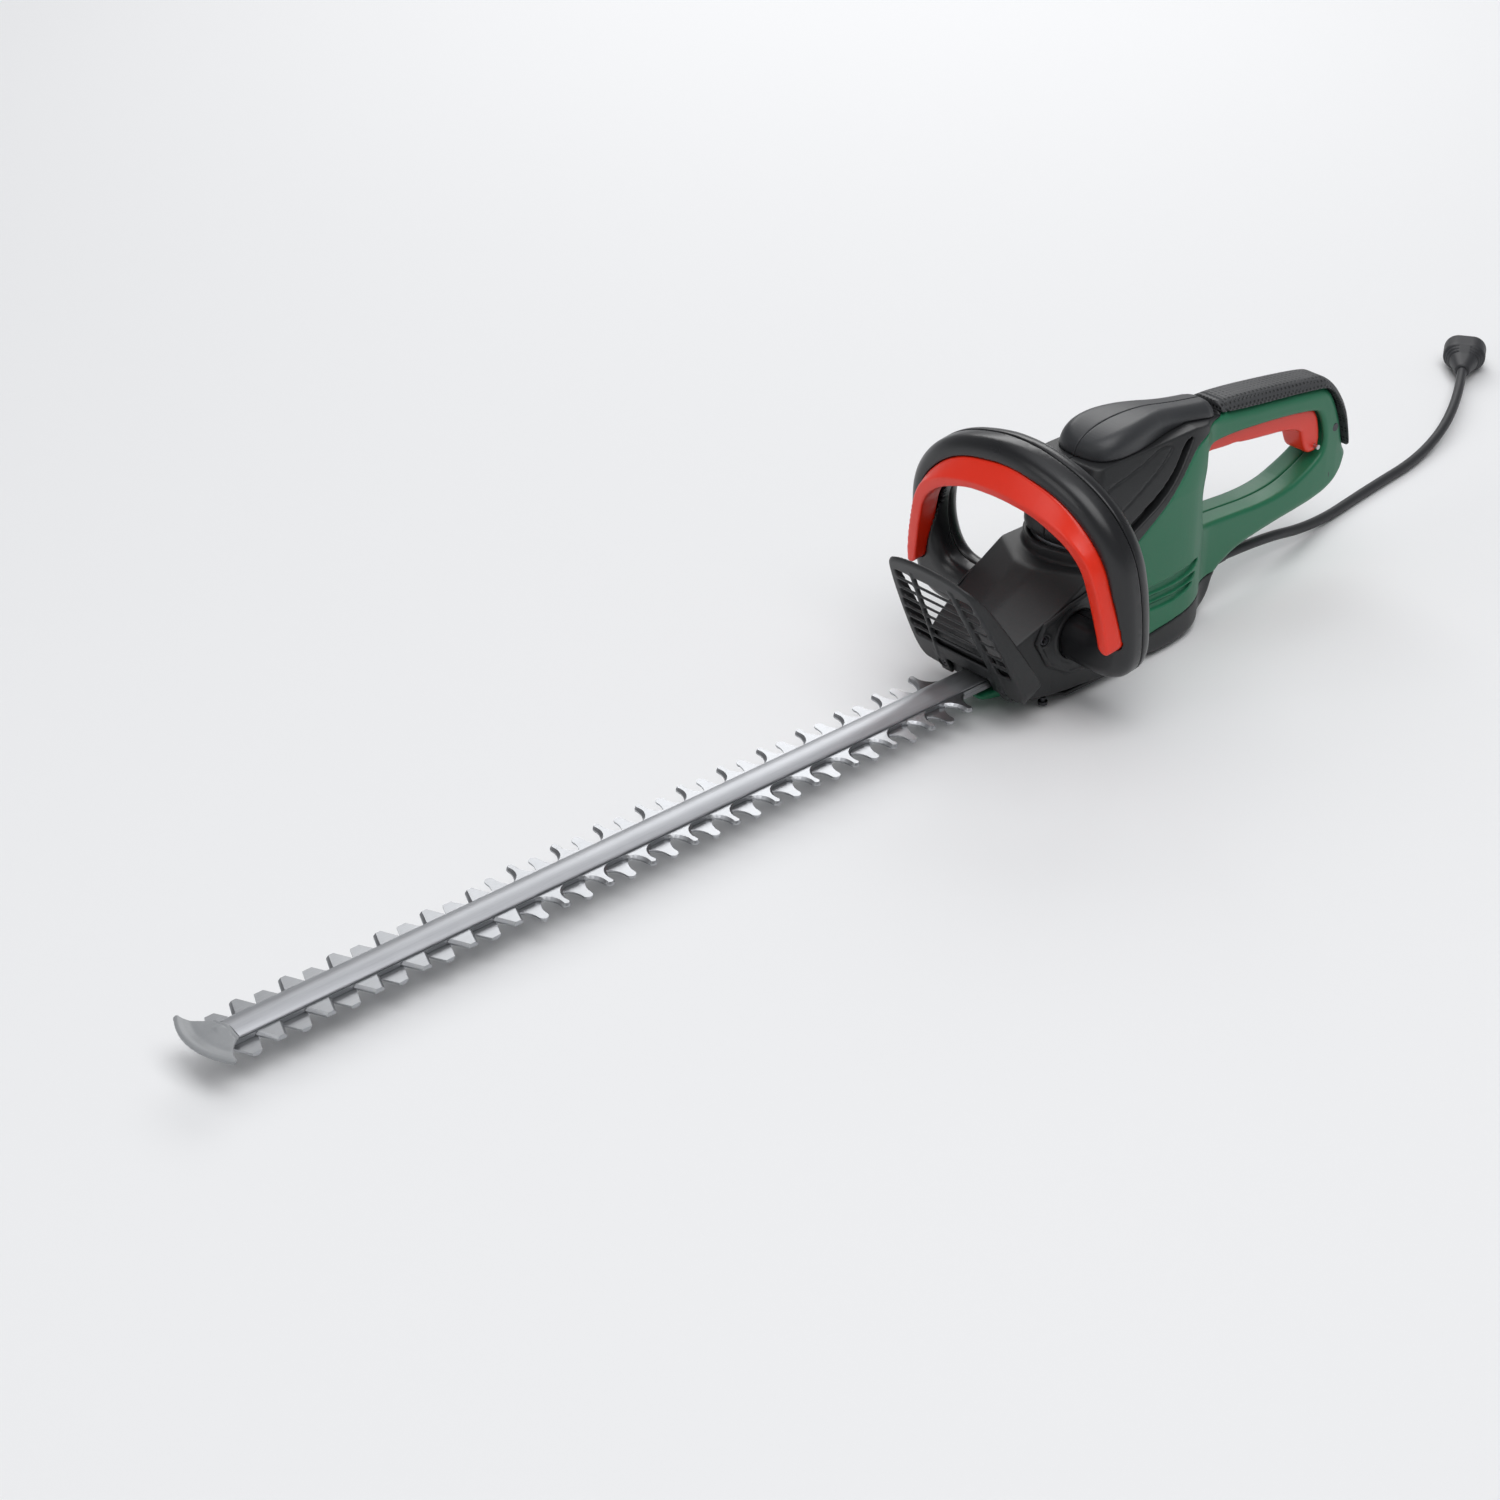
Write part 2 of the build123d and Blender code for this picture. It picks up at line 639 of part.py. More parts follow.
with BuildPart() as body:
    with BuildSketch(SIDE_VIEW):
        Polygon(*BODY_SIDE, align=None)
        fillet([v for v in vertices() if 500 < v.X and v.Z > 90], radius=3)
    extrude(amount=60, both=True)
    with BuildSketch():
        plan_polygon(BODY_PLAN)
        with Locations((MOTOR_X, 0)):
            Circle(42.5)
    extrude(amount=200, mode=Mode.INTERSECT)
    with BuildSketch(FRONT_VIEW.offset(200)):
        Polygon(*BODY_FRONT, align=None)
    extrude(amount=360, mode=Mode.INTERSECT)
    with BuildSketch(SIDE_VIEW):
        Polygon(*FINGER_GAP, align=None)
    extrude(amount=60, both=True, mode=Mode.SUBTRACT)
    with BuildSketch(FRONT_VIEW.offset(364)):
        with Locations((0, CORD_EXIT_Z)):
            Circle(6.5)
    extrude(amount=50, mode=Mode.SUBTRACT)

with BuildPart() as cavity:
    for z, top, radius in ((50, 116, POD_BORE_R), (116, 134, 30.0), (134, 146, 20.0), (146, 158, BEARING_R)):
        with BuildSketch(Plane(origin=(MOTOR_X, 0, z))) as bore:
            Circle(radius)
        extrude(bore.sketch, amount=top - z)
    with BuildSketch(SIDE_VIEW):
        Polygon(*MOTOR_ROOM, align=None)
    extrude(amount=39, both=True)
    with BuildSketch():
        plan_polygon([(200, 39.5), (323, 38), (346, 29), (363, 18), (373, 14), (380, 14)])
    extrude(amount=200, mode=Mode.INTERSECT)
    with BuildSketch(SIDE_VIEW):
        Polygon(*TRIGGER_ROOM, align=None)
    extrude(amount=TRIGGER_HALF + 0.6, both=True)
    with BuildSketch(SIDE_VIEW):
        Polygon((325, 125), (368, 145), (366, 160), (325, 158), align=None)
    extrude(amount=12.5, both=True)

base_zone = extrude(SIDE_VIEW * Polygon(*BASE_ZONE, align=None), amount=60, both=True)
hood_zone = extrude(SIDE_VIEW * Polygon(*HOOD_ZONE, align=None), amount=60, both=True)

with BuildPart() as bottom_shell:
    add(body.part)
    add(base_zone, mode=Mode.INTERSECT)
    add(cavity.part, mode=Mode.SUBTRACT)

shells = {}
for side, keep in (("left", Keep.TOP), ("right", Keep.BOTTOM)):
    with BuildPart() as motor_shell:
        add(body.part)
        add(cavity.part, mode=Mode.SUBTRACT)
        add(base_zone, mode=Mode.SUBTRACT)
        add(hood_zone, mode=Mode.SUBTRACT)
        screw_holes(Mode.SUBTRACT, 0.4)
        with BuildSketch(SIDE_VIEW):
            with Locations(TRIGGER_PIVOT):
                Circle(PIN_R)
        extrude(amount=PIN_HALF, both=True, mode=Mode.SUBTRACT)
        split(bisect_by=SIDE_VIEW, keep=keep)
    with BuildPart() as motor_hood:
        add(body.part)
        add(cavity.part, mode=Mode.SUBTRACT)
        add(hood_zone, mode=Mode.INTERSECT)
        split(bisect_by=SIDE_VIEW, keep=keep)
    shells[side] = (motor_shell, motor_hood)

with BuildPart() as housing_screws:
    screw_holes(Mode.ADD)

CAP_SIDE = [
    (235, LIP_Z), (340, LIP_Z), (383, 163), (383, 176), (340, 183), (305, 191), (268, 192), (243, 184),
]
CAP_PLAN = [(262, 28), (290, 30), (325, 22), (345, HANDLE_HALF), (384, HANDLE_HALF)]
caps = {}
for side, keep in (("left", Keep.TOP), ("right", Keep.BOTTOM)):
    with BuildPart() as top_cap:
        with BuildSketch(SIDE_VIEW):
            Polygon(*CAP_SIDE, align=None)
        extrude(amount=40, both=True)
        with BuildSketch():
            plan_polygon(CAP_PLAN)
            with Locations((262, 0)):
                Circle(28)
        extrude(amount=220, mode=Mode.INTERSECT)
        with BuildSketch(Plane.XY.offset(160)):
            plan_polygon(CAP_PLAN)
            with Locations((262, 0)):
                Circle(28)
            offset(amount=-4, mode=Mode.REPLACE)
            with Locations((345, 0)):
                Rectangle(60, 60, mode=Mode.SUBTRACT)
        extrude(amount=21, mode=Mode.SUBTRACT)
        split(bisect_by=SIDE_VIEW, keep=keep)
    caps[side] = top_cap

GRIP_SIDE = [
    (383, 158), (498, 143), (513, 138), (521, 128), (531, 100), (536, 82), (554, 79),
    (545, 121), (532, 140), (507, 157), (383, 175.5),
]
with BuildPart() as handle_grip:
    with BuildSketch(SIDE_VIEW):
        Polygon(*GRIP_SIDE, align=None)
    extrude(amount=HANDLE_HALF, both=True)
    upper_edges = [
        e
        for e in edges()
        if e.center().X > 390
        and abs(abs(e.center().Y) - HANDLE_HALF) < 0.1
        and e.center().Z > 175.6 - (e.center().X - 383) * 0.16
    ]
    fillet(upper_edges, radius=6)
    add(body.part, mode=Mode.SUBTRACT)

# ---- rear trigger, its pin, its return spring and the switch that it works ----
with BuildPart() as rear_trigger:
    with BuildSketch(SIDE_VIEW):
        Polygon(*TRIGGER_SIDE, align=None)
        with Locations(TRIGGER_PIVOT):
            Circle(PIN_R + RUNNING_FIT, mode=Mode.SUBTRACT)
    extrude(amount=TRIGGER_HALF, both=True)

with BuildPart() as trigger_pin:
    with BuildSketch(SIDE_VIEW):
        with Locations(TRIGGER_PIVOT):
            Circle(PIN_R)
    extrude(amount=PIN_HALF, both=True)

SPRING_X = 392.0
with BuildPart() as trigger_spring:
    with BuildLine(Plane(origin=(SPRING_X, 0, 148.4))) as coil:
        Helix(pitch=1.9, height=6.6, radius=3.2)
    with BuildSketch(Plane(origin=coil.line @ 0, z_dir=coil.line % 0)):
        Circle(0.4)
    sweep(path=coil.line, is_frenet=True)

with BuildPart() as switch_box:
    with BuildSketch(SIDE_VIEW):
        Polygon((330, 130), (350, 139), (350, 155), (330, 155), align=None)
    extrude(amount=10, both=True)

# ---- front bail handle: two half shells and the switch bar across its front ----
BAIL_TILT = atan(BAIL_LEAN)
BAIL = Plane(
    origin=(BAIL_X, 0, BAIL_Z),
    x_dir=(0, 1, 0),
    z_dir=(cos(BAIL_TILT), 0, sin(BAIL_TILT)),
)
BAIL_OUT = [
    (44, -17), (80, -19), (98, -13), (107, -1), (110, 20), (110, 60), (104.5, 90),
    (87, 115), (60, 133), (24, 143), (0, 145),
]
BAIL_IN = [
    (0, 116), (18, 115), (46, 107), (66, 94), (79, 77), (83, 60), (83.5, 42), (78, 24), (66, 17), (44, 17),
]
BAR_IN = [(0, 110.5), (33.5, 107.5), (64, 95), (78.5, 81), (84.5, 61), (88.5, 43), (92.5, 16)]
BAR_OUT = [(104, 16), (103, 36), (98, 58), (91, 86), (72.5, 108), (47.6, 123.5), (16, 130), (0, 131)]
BAR_FRONT = -28.0
BAR_BACK = -9.0
SEAT_GAP = 0.5
SEAM_W = 2.0
FLAT_W = 9.0
EDGE_TAPER = 20.0


def both_sides(half):
    """A closed outline from its +Y half, mirrored across the centre plane."""
    left = [(-s, v) for s, v in reversed(half) if s > 0]
    Polygon(*half, *left, align=None)


def bail_band(w, amount, inset=0.0, taper=0.0, mode=Mode.ADD):
    """The C-shaped band between the bail's outer and inner lines, from w along the bail's normal."""
    with BuildSketch(BAIL.offset(w)) as outer:
        both_sides(list(reversed(BAIL_OUT)))
        offset(amount=-inset)
    with BuildSketch(BAIL.offset(w)) as inner:
        both_sides(BAIL_IN)
        offset(amount=inset)
    band = outer.sketch - inner.sketch
    extrude(band, amount=amount, taper=taper, mode=mode)


def bar_band(w, amount, gap=0.0, taper=0.0, mode=Mode.ADD):
    """The switch bar's band, grown all round by gap."""
    with BuildSketch(BAIL.offset(w)) as band:
        both_sides(BAR_IN + BAR_OUT)
        offset(amount=gap)
    extrude(band.sketch, amount=amount, taper=taper, mode=mode)


def bail_screw_places(radius, w, amount, mode):
    with BuildSketch(BAIL.offset(w)) as places:
        with Locations([(72, 0), (-72, 0), (97, 60), (-97, 60), (0, 130)]):
            Circle(radius)
    extrude(places.sketch, amount=amount, mode=mode)


with BuildPart() as front_switch_bar:
    bar_band(BAR_BACK, BAR_FRONT + 6 - BAR_BACK)
    bar_band(BAR_FRONT + 6, -6, taper=30)

with BuildPart() as front_handle_front:
    bail_band(SEAM_W, -FLAT_W - SEAM_W)
    bail_band(-FLAT_W, FLAT_W - BAIL_DEPTH / 2, taper=EDGE_TAPER)
    bar_band(BAR_BACK + BAR_TRAVEL + 1, -20, gap=SEAT_GAP, mode=Mode.SUBTRACT)
    bail_band(SEAM_W, -3, inset=4, mode=Mode.SUBTRACT)
    bail_screw_places(1.8, -3, 16, Mode.SUBTRACT)
    with BuildSketch():
        plan_polygon(HOUSING_PLAN)
    extrude(amount=160, mode=Mode.SUBTRACT)

with BuildPart() as front_handle_rear:
    bail_band(SEAM_W, FLAT_W - SEAM_W)
    bail_band(FLAT_W, BAIL_DEPTH / 2 - FLAT_W, taper=EDGE_TAPER)
    bail_band(SEAM_W, 11, inset=4, mode=Mode.SUBTRACT)
    bail_screw_places(1.8, -3, 16, Mode.SUBTRACT)
    bail_screw_places(3.4, 13, 5, Mode.SUBTRACT)
    with BuildSketch():
        plan_polygon(HOUSING_PLAN)
    extrude(amount=160, mode=Mode.SUBTRACT)

with BuildPart() as bail_screws:
    bail_screw_places(1.8, -3, 16, Mode.ADD)
    bail_screw_places(3.2, 13, 2, Mode.ADD)

# ---- supply cord: strain relief, cord, moulded plug and its two pins ----
CORD_R = CORD_D / 2
CORD_ROUTE = [
    (376, 0, 28), (456, 0, 28), (546, 12, 4.3), (632, 24, 4.3), (718, 33, 4.3), (800, 62, 13), (862, 104, 13),
]
PLUG_PIN_GAP = 19.0
PLUG_PIN_L = 19.0

with BuildPart() as strain_relief:
    with BuildSketch(FRONT_VIEW.offset(372)):
        with Locations((0, CORD_EXIT_Z)):
            Circle(6.5)
    extrude(amount=24)
    with BuildSketch(FRONT_VIEW.offset(396)):
        with Locations((0, CORD_EXIT_Z)):
            Circle(6.5)
    with BuildSketch(FRONT_VIEW.offset(419)):
        with Locations((0, CORD_EXIT_Z)):
            Circle(5.1)
    loft()
    for x in (400, 405, 410):
        with BuildSketch(FRONT_VIEW.offset(x)) as groove:
            with Locations((0, CORD_EXIT_Z)):
                Circle(8)
                Circle(5.0, mode=Mode.SUBTRACT)
        extrude(groove.sketch, amount=2, mode=Mode.SUBTRACT)
    with BuildSketch(FRONT_VIEW.offset(370)):
        with Locations((0, CORD_EXIT_Z)):
            Circle(CORD_R)
    extrude(amount=60, mode=Mode.SUBTRACT)


def corner_radii(route):
    """For each corner, 0.45 of the shorter run beside it, over the tangent of half the turn."""
    points = [Vector(*p) for p in route]
    radii = []
    for a, b, c in zip(points, points[1:], points[2:]):
        turn = (b - a).get_angle(c - b)
        radii.append(0.45 * min((b - a).length, (c - b).length) / tan(radians(turn) / 2))
    return radii


cord_radii = corner_radii(CORD_ROUTE)
with BuildPart() as cord:
    with BuildLine() as route:
        FilletPolyline(*CORD_ROUTE, radius=cord_radii)
    with BuildSketch(Plane(origin=CORD_ROUTE[0], z_dir=(1, 0, 0))):
        Circle(CORD_R)
    sweep(path=route.line)
cord_length = sum(edge.length for edge in route.line.edges())
print("cord corner radii, mm:", [round(r) for r in cord_radii])
print("cord length, mm:", round(cord_length, 1))
print("cord volume over section times length:", round(cord.part.volume / (pi * CORD_R**2 * cord_length), 4))

run_x, run_y = CORD_ROUTE[-1][0] - CORD_ROUTE[-2][0], CORD_ROUTE[-1][1] - CORD_ROUTE[-2][1]
PLUG = Plane(origin=CORD_ROUTE[-1], x_dir=(run_y, -run_x, 0), z_dir=(run_x, run_y, 0))
with BuildPart() as plug:
    with BuildSketch(PLUG):
        Circle(6)
    with BuildSketch(PLUG.offset(20)):
        SlotOverall(24, 18)
    loft()
    with BuildSketch(PLUG.offset(20)):
        SlotOverall(24, 18)
    with BuildSketch(PLUG.offset(32)):
        SlotOverall(37, 25)
    loft()
    with BuildSketch(PLUG.offset(32)):
        SlotOverall(37, 25)
    extrude(amount=20)

with BuildPart() as plug_pins:
    with BuildSketch(PLUG.offset(52)):
        with Locations([(PLUG_PIN_GAP / 2, 0), (-PLUG_PIN_GAP / 2, 0)]):
            Circle(2.4)
    extrude(amount=PLUG_PIN_L)

# ---- node names and files ----
NODES = {
    "upper_blade": upper_blade,
    "lower_blade": lower_blade,
    "guide_rail": guide_rail,
    "blade_bolts": blade_bolts,
    "rail_screw": rail_screw,
    "tip_screw": tip_screw,
    "tip_protector": tip_protector,
    "hand_guard": hand_guard,
    "guard_screws": guard_screws,
    "gear_housing": gear_housing,
    "gear_cover": gear_cover,
    "cover_screws": cover_screws,
    "side_cover_left": side_covers["left"],
    "side_cover_right": side_covers["right"],
    "side_screws": side_screws,
    "drive_gear": drive_gear,
    "lower_crank": lower_crank,
    "gear_shaft": gear_shaft,
    "bearing_bracket": bearing_bracket,
    "gear_bush": gear_bush,
    "pinion": pinion,
    "motor_shaft": motor_shaft,
    "motor_bearings": motor_bearings,
    "cooling_fan": cooling_fan,
    "armature_core": armature_core,
    "armature_windings": armature_windings,
    "commutator": commutator,
    "stator_core": stator_core,
    "field_coils": field_coils,
    "brush_holders": brush_holders,
    "carbon_brushes": carbon_brushes,
    "motor_shell_left": shells["left"][0],
    "motor_shell_right": shells["right"][0],
    "motor_hood_left": shells["left"][1],
    "motor_hood_right": shells["right"][1],
    "bottom_shell": bottom_shell,
    "top_cap_left": caps["left"],
    "top_cap_right": caps["right"],
    "housing_screws": housing_screws,
    "handle_grip": handle_grip,
    "rear_trigger": rear_trigger,
    "trigger_pin": trigger_pin,
    "trigger_spring": trigger_spring,
    "switch_box": switch_box,
    "front_handle_front": front_handle_front,
    "front_handle_rear": front_handle_rear,
    "bail_screws": bail_screws,
    "front_switch_bar": front_switch_bar,
    "strain_relief": strain_relief,
    "cord": cord,
    "plug": plug,
    "plug_pins": plug_pins,
}
for name, node in NODES.items():
    node.part.label = name
    export_step(node.part, f"parts/{name}.step")
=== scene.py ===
import bpy
import bmesh
import math
import numpy as np
from mathutils import Vector, Matrix


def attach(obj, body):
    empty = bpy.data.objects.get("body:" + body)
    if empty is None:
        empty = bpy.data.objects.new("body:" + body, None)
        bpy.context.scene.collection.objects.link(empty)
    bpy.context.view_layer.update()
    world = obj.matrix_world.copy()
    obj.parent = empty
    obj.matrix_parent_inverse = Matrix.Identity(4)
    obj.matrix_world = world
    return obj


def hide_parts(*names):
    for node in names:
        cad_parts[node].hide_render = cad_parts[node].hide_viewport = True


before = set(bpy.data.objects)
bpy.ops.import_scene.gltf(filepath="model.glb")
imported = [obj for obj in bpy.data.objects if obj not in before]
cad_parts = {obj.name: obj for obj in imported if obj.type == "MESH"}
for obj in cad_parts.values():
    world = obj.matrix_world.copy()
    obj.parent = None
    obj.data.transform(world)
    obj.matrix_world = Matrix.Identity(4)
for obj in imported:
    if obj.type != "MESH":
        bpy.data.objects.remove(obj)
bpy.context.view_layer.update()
MM = 0.001  # forms are laid out in millimetres, meshes in metres

# where the main axes are, in millimetres
GEAR_X, MOTOR_X = 212.5, 250
BAIL_ARM_X, BAIL_ARM_Z = 199, 58
CORD_Z, CORD_R = 28, 4.2


# ---------------------------------------------------------------- camera, floor and lights
def set_camera():
    """A long lens in front of the blade tip, to the left and above."""
    data = bpy.data.cameras.new("camera")
    data.lens, data.sensor_width = 82.81, 36.0
    data.clip_start, data.clip_end = 0.1, 50.0
    camera = bpy.data.objects.new("camera", data)
    bpy.context.collection.objects.link(camera)
    azimuth, elevation, roll = math.radians(-42.73), math.radians(30.79), math.radians(0.20)
    back = Vector((
        math.sin(azimuth) * math.cos(elevation),
        -math.cos(azimuth) * math.cos(elevation),
        math.sin(elevation),
    ))
    turn = (-back).to_track_quat("-Z", "Y").to_matrix().to_4x4() @ Matrix.Rotation(roll, 4, "Z")
    camera.matrix_world = Matrix.Translation((-1.4788, -1.5103, 1.2768)) @ turn
    bpy.context.scene.camera = camera


def area_light(name, place, target, size, watts):
    data = bpy.data.lights.new(name, "AREA")
    data.shape, data.size, data.size_y = "RECTANGLE", size[0], size[1]
    data.energy = watts
    light = bpy.data.objects.new(name, data)
    bpy.context.collection.objects.link(light)
    light.location = place
    light.rotation_mode = "QUATERNION"
    light.rotation_quaternion = (Vector(target) - Vector(place)).to_track_quat("-Z", "Y")


def set_studio():
    """A world that is bright above and dim at the sides, a pale floor and three soft lights."""
    world = bpy.data.worlds.new("studio")
    bpy.context.scene.world = world
    world.use_nodes = True
    tree = world.node_tree
    place = tree.nodes.new("ShaderNodeTexCoord")
    split = tree.nodes.new("ShaderNodeSeparateXYZ")
    ramp = tree.nodes.new("ShaderNodeValToRGB")
    below, above = ramp.color_ramp.elements
    below.position, below.color = 0.0, (0.5, 0.52, 0.54, 1)
    above.position, above.color = 1.0, (0.95, 0.97, 1.0, 1)
    for position, grey in ((0.12, 0.22), (0.74, 0.14), (0.9, 0.8)):
        ramp.color_ramp.elements.new(position).color = (grey, grey, grey * 1.03, 1)
    tree.links.new(place.outputs["Generated"], split.inputs[0])
    tree.links.new(split.outputs["Z"], ramp.inputs[0])
    tree.links.new(ramp.outputs[0], tree.nodes["Background"].inputs["Color"])
    tree.nodes["Background"].inputs["Strength"].default_value = 1.2
    bpy.ops.mesh.primitive_plane_add(size=14, location=(0, 0, -0.0005))
    floor = bpy.context.object
    floor.name = "floor"
    paint = bpy.data.materials.new("pale_floor")
    paint.use_nodes = True
    shader = paint.node_tree.nodes["Principled BSDF"]
    shader.inputs["Base Color"].default_value = (0.86, 0.865, 0.87, 1)
    shader.inputs["Roughness"].default_value = 0.9
    shader.inputs["Specular IOR Level"].default_value = 0.1
    floor.data.materials.append(paint)
    for name, place, target, size, watts in (
        ("key", (-0.3, -1.0, 2.6), (0.1, 0, 0.05), (2.2, 2.2), 35),
        ("rim", (1.7, 1.6, 1.5), (0.1, 0, 0.05), (1.8, 1.0), 20),
        ("front", (-2.4, 0.6, 1.2), (0.1, 0, 0.08), (1.0, 1.4), 8),
    ):
        area_light(name, place, target, size, watts)
    view = bpy.context.scene.view_settings
    view.view_transform, view.look, view.exposure = "Standard", "None", 0.0


# ---------------------------------------------------------------- materials
def group_tree(name, inputs, outputs):
    """An empty shader group with its sockets, its input node and its output node."""
    tree = bpy.data.node_groups.new(name, "ShaderNodeTree")
    for socket, kind, value in inputs:
        made = tree.interface.new_socket(name=socket, in_out="INPUT", socket_type=kind)
        made.default_value = value
    for socket, kind in outputs:
        tree.interface.new_socket(name=socket, in_out="OUTPUT", socket_type=kind)
    return tree, tree.nodes.new("NodeGroupInput"), tree.nodes.new("NodeGroupOutput")


def wire(tree, *pairs):
    for start, end in pairs:
        tree.links.new(start, end)


def maths(tree, operation, first, second=None, clamp=False):
    """A Math node on two values, each a number or a socket."""
    node = tree.nodes.new("ShaderNodeMath")
    node.operation, node.use_clamp = operation, clamp
    for place, value in enumerate((first, second)):
        if isinstance(value, (int, float)):
            node.inputs[place].default_value = value
        elif value is not None:
            tree.links.new(value, node.inputs[place])
    return node.outputs[0]


def noise(tree, vector, scale, detail=2.0, roughness=0.5):
    node = tree.nodes.new("ShaderNodeTexNoise")
    node.inputs["Detail"].default_value = detail
    node.inputs["Roughness"].default_value = roughness
    if isinstance(scale, (int, float)):
        node.inputs["Scale"].default_value = scale
    else:
        tree.links.new(scale, node.inputs["Scale"])
    tree.links.new(vector, node.inputs["Vector"])
    return node.outputs["Fac"]


def colour_mix(tree, share, first, second, result):
    """Blends two colours, each a colour or a socket, by share."""
    mix = tree.nodes.new("ShaderNodeMix")
    mix.data_type = "RGBA"
    for place, value in zip((0, 6, 7), (share, first, second)):
        if isinstance(value, tuple):
            mix.inputs[place].default_value = value
        else:
            tree.links.new(value, mix.inputs[place])
    tree.links.new(mix.outputs[2], result)


def make_grain_group():
    """Fine moulded grain: a height for the bump, and a colour and a roughness that drift over the surface."""
    tree, start, end = group_tree(
        "moulded_grain",
        [("Vector", "NodeSocketVector", (0, 0, 0)), ("Grain Scale", "NodeSocketFloat", 900.0),
         ("Colour", "NodeSocketColor", (0.5, 0.5, 0.5, 1)), ("Worn Colour", "NodeSocketColor", (0.6, 0.6, 0.6, 1)),
         ("Wear", "NodeSocketFloat", 0.15), ("Roughness", "NodeSocketFloat", 0.5)],
        [("Colour", "NodeSocketColor"), ("Roughness", "NodeSocketFloat"), ("Height", "NodeSocketFloat")],
    )
    vector = start.outputs["Vector"]
    grain = noise(tree, vector, start.outputs["Grain Scale"], 3.0, 0.6)
    cloud = noise(tree, vector, 22.0, 4.0, 0.55)
    specks = noise(tree, vector, maths(tree, "MULTIPLY", start.outputs["Grain Scale"], 0.45), 2.0, 0.7)
    mask = maths(tree, "MULTIPLY", maths(tree, "SUBTRACT", specks, 0.35, True), start.outputs["Wear"])
    drift = maths(tree, "MULTIPLY", maths(tree, "SUBTRACT", cloud, 0.4, True), start.outputs["Wear"])
    worn = maths(tree, "ADD", mask, drift, True)
    colour_mix(tree, worn, start.outputs["Colour"], start.outputs["Worn Colour"], end.inputs["Colour"])
    uneven = maths(tree, "MULTIPLY", maths(tree, "SUBTRACT", cloud, 0.5), 0.16)
    wire(
        tree,
        (maths(tree, "ADD", start.outputs["Roughness"], uneven, True), end.inputs["Roughness"]),
        (grain, end.inputs["Height"]),
    )
    return tree


def make_streak_group():
    """Fine lines along X, as drawn, rolled or ground metal has."""
    tree, start, end = group_tree(
        "drawn_streaks",
        [("Vector", "NodeSocketVector", (0, 0, 0)), ("Line Scale", "NodeSocketFloat", 1400.0),
         ("Dark", "NodeSocketColor", (0.4, 0.4, 0.4, 1)), ("Light", "NodeSocketColor", (0.7, 0.7, 0.7, 1)),
         ("Stretch", "NodeSocketVector", (0.02, 1, 1)), ("Roughness", "NodeSocketFloat", 0.3)],
        [("Colour", "NodeSocketColor"), ("Roughness", "NodeSocketFloat"), ("Height", "NodeSocketFloat")],
    )
    scaled = tree.nodes.new("ShaderNodeVectorMath")
    scaled.operation = "MULTIPLY"
    wire(tree, (start.outputs["Vector"], scaled.inputs[0]), (start.outputs["Stretch"], scaled.inputs[1]))
    lines = noise(tree, scaled.outputs[0], start.outputs["Line Scale"], 3.0, 0.65)
    cloud = noise(tree, start.outputs["Vector"], 34.0, 3.0, 0.5)
    blend = maths(tree, "ADD", maths(tree, "MULTIPLY", lines, 0.7), maths(tree, "MULTIPLY", cloud, 0.3), True)
    colour_mix(tree, blend, start.outputs["Dark"], start.outputs["Light"], end.inputs["Colour"])
    uneven = maths(tree, "MULTIPLY", maths(tree, "SUBTRACT", lines, 0.5), 0.2)
    wire(
        tree,
        (maths(tree, "ADD", start.outputs["Roughness"], uneven, True), end.inputs["Roughness"]),
        (lines, end.inputs["Height"]),
    )
    return tree


def make_dot_group():
    """Rows of small round hollows, set like diamonds, pressed into a soft grip."""
    tree, start, end = group_tree(
        "grip_dots",
        [("Vector", "NodeSocketVector", (0, 0, 0)), ("Pitch Scale", "NodeSocketFloat", 300.0)],
        [("Hollow", "NodeSocketFloat")],
    )
    turn = tree.nodes.new("ShaderNodeVectorRotate")
    turn.rotation_type = "Y_AXIS"
    turn.inputs["Angle"].default_value = math.radians(45 - 7)
    cells = tree.nodes.new("ShaderNodeTexVoronoi")
    cells.inputs["Randomness"].default_value = 0.0
    wire(
        tree,
        (start.outputs["Vector"], turn.inputs["Vector"]),
        (turn.outputs["Vector"], cells.inputs["Vector"]),
        (start.outputs["Pitch Scale"], cells.inputs["Scale"]),
    )
    edge = maths(tree, "MULTIPLY", maths(tree, "SUBTRACT", cells.outputs["Distance"], 0.3), 7.0, True)
    wire(tree, (edge, end.inputs["Hollow"]))
    return tree


GRAIN, STREAKS, DOTS = make_grain_group(), make_streak_group(), make_dot_group()


def start_material(name):
    material = bpy.data.materials.new(name)
    material.use_nodes = True
    tree = material.node_tree
    place = tree.nodes.new("ShaderNodeTexCoord")
    return material, tree, tree.nodes["Principled BSDF"], place.outputs["Object"]


def add_bump(tree, shader, height, strength, distance):
    bump = tree.nodes.new("ShaderNodeBump")
    bump.inputs["Strength"].default_value = strength
    bump.inputs["Distance"].default_value = distance
    wire(tree, (height, bump.inputs["Height"]), (bump.outputs["Normal"], shader.inputs["Normal"]))


def place_group(tree, group, vector, **values):
    """A shared group in a material, fed with the place on the piece and its own values."""
    node = tree.nodes.new("ShaderNodeGroup")
    node.node_tree = group
    for socket, value in values.items():
        node.inputs[socket.replace("_", " ")].default_value = value
    tree.links.new(vector, node.inputs["Vector"])
    return node


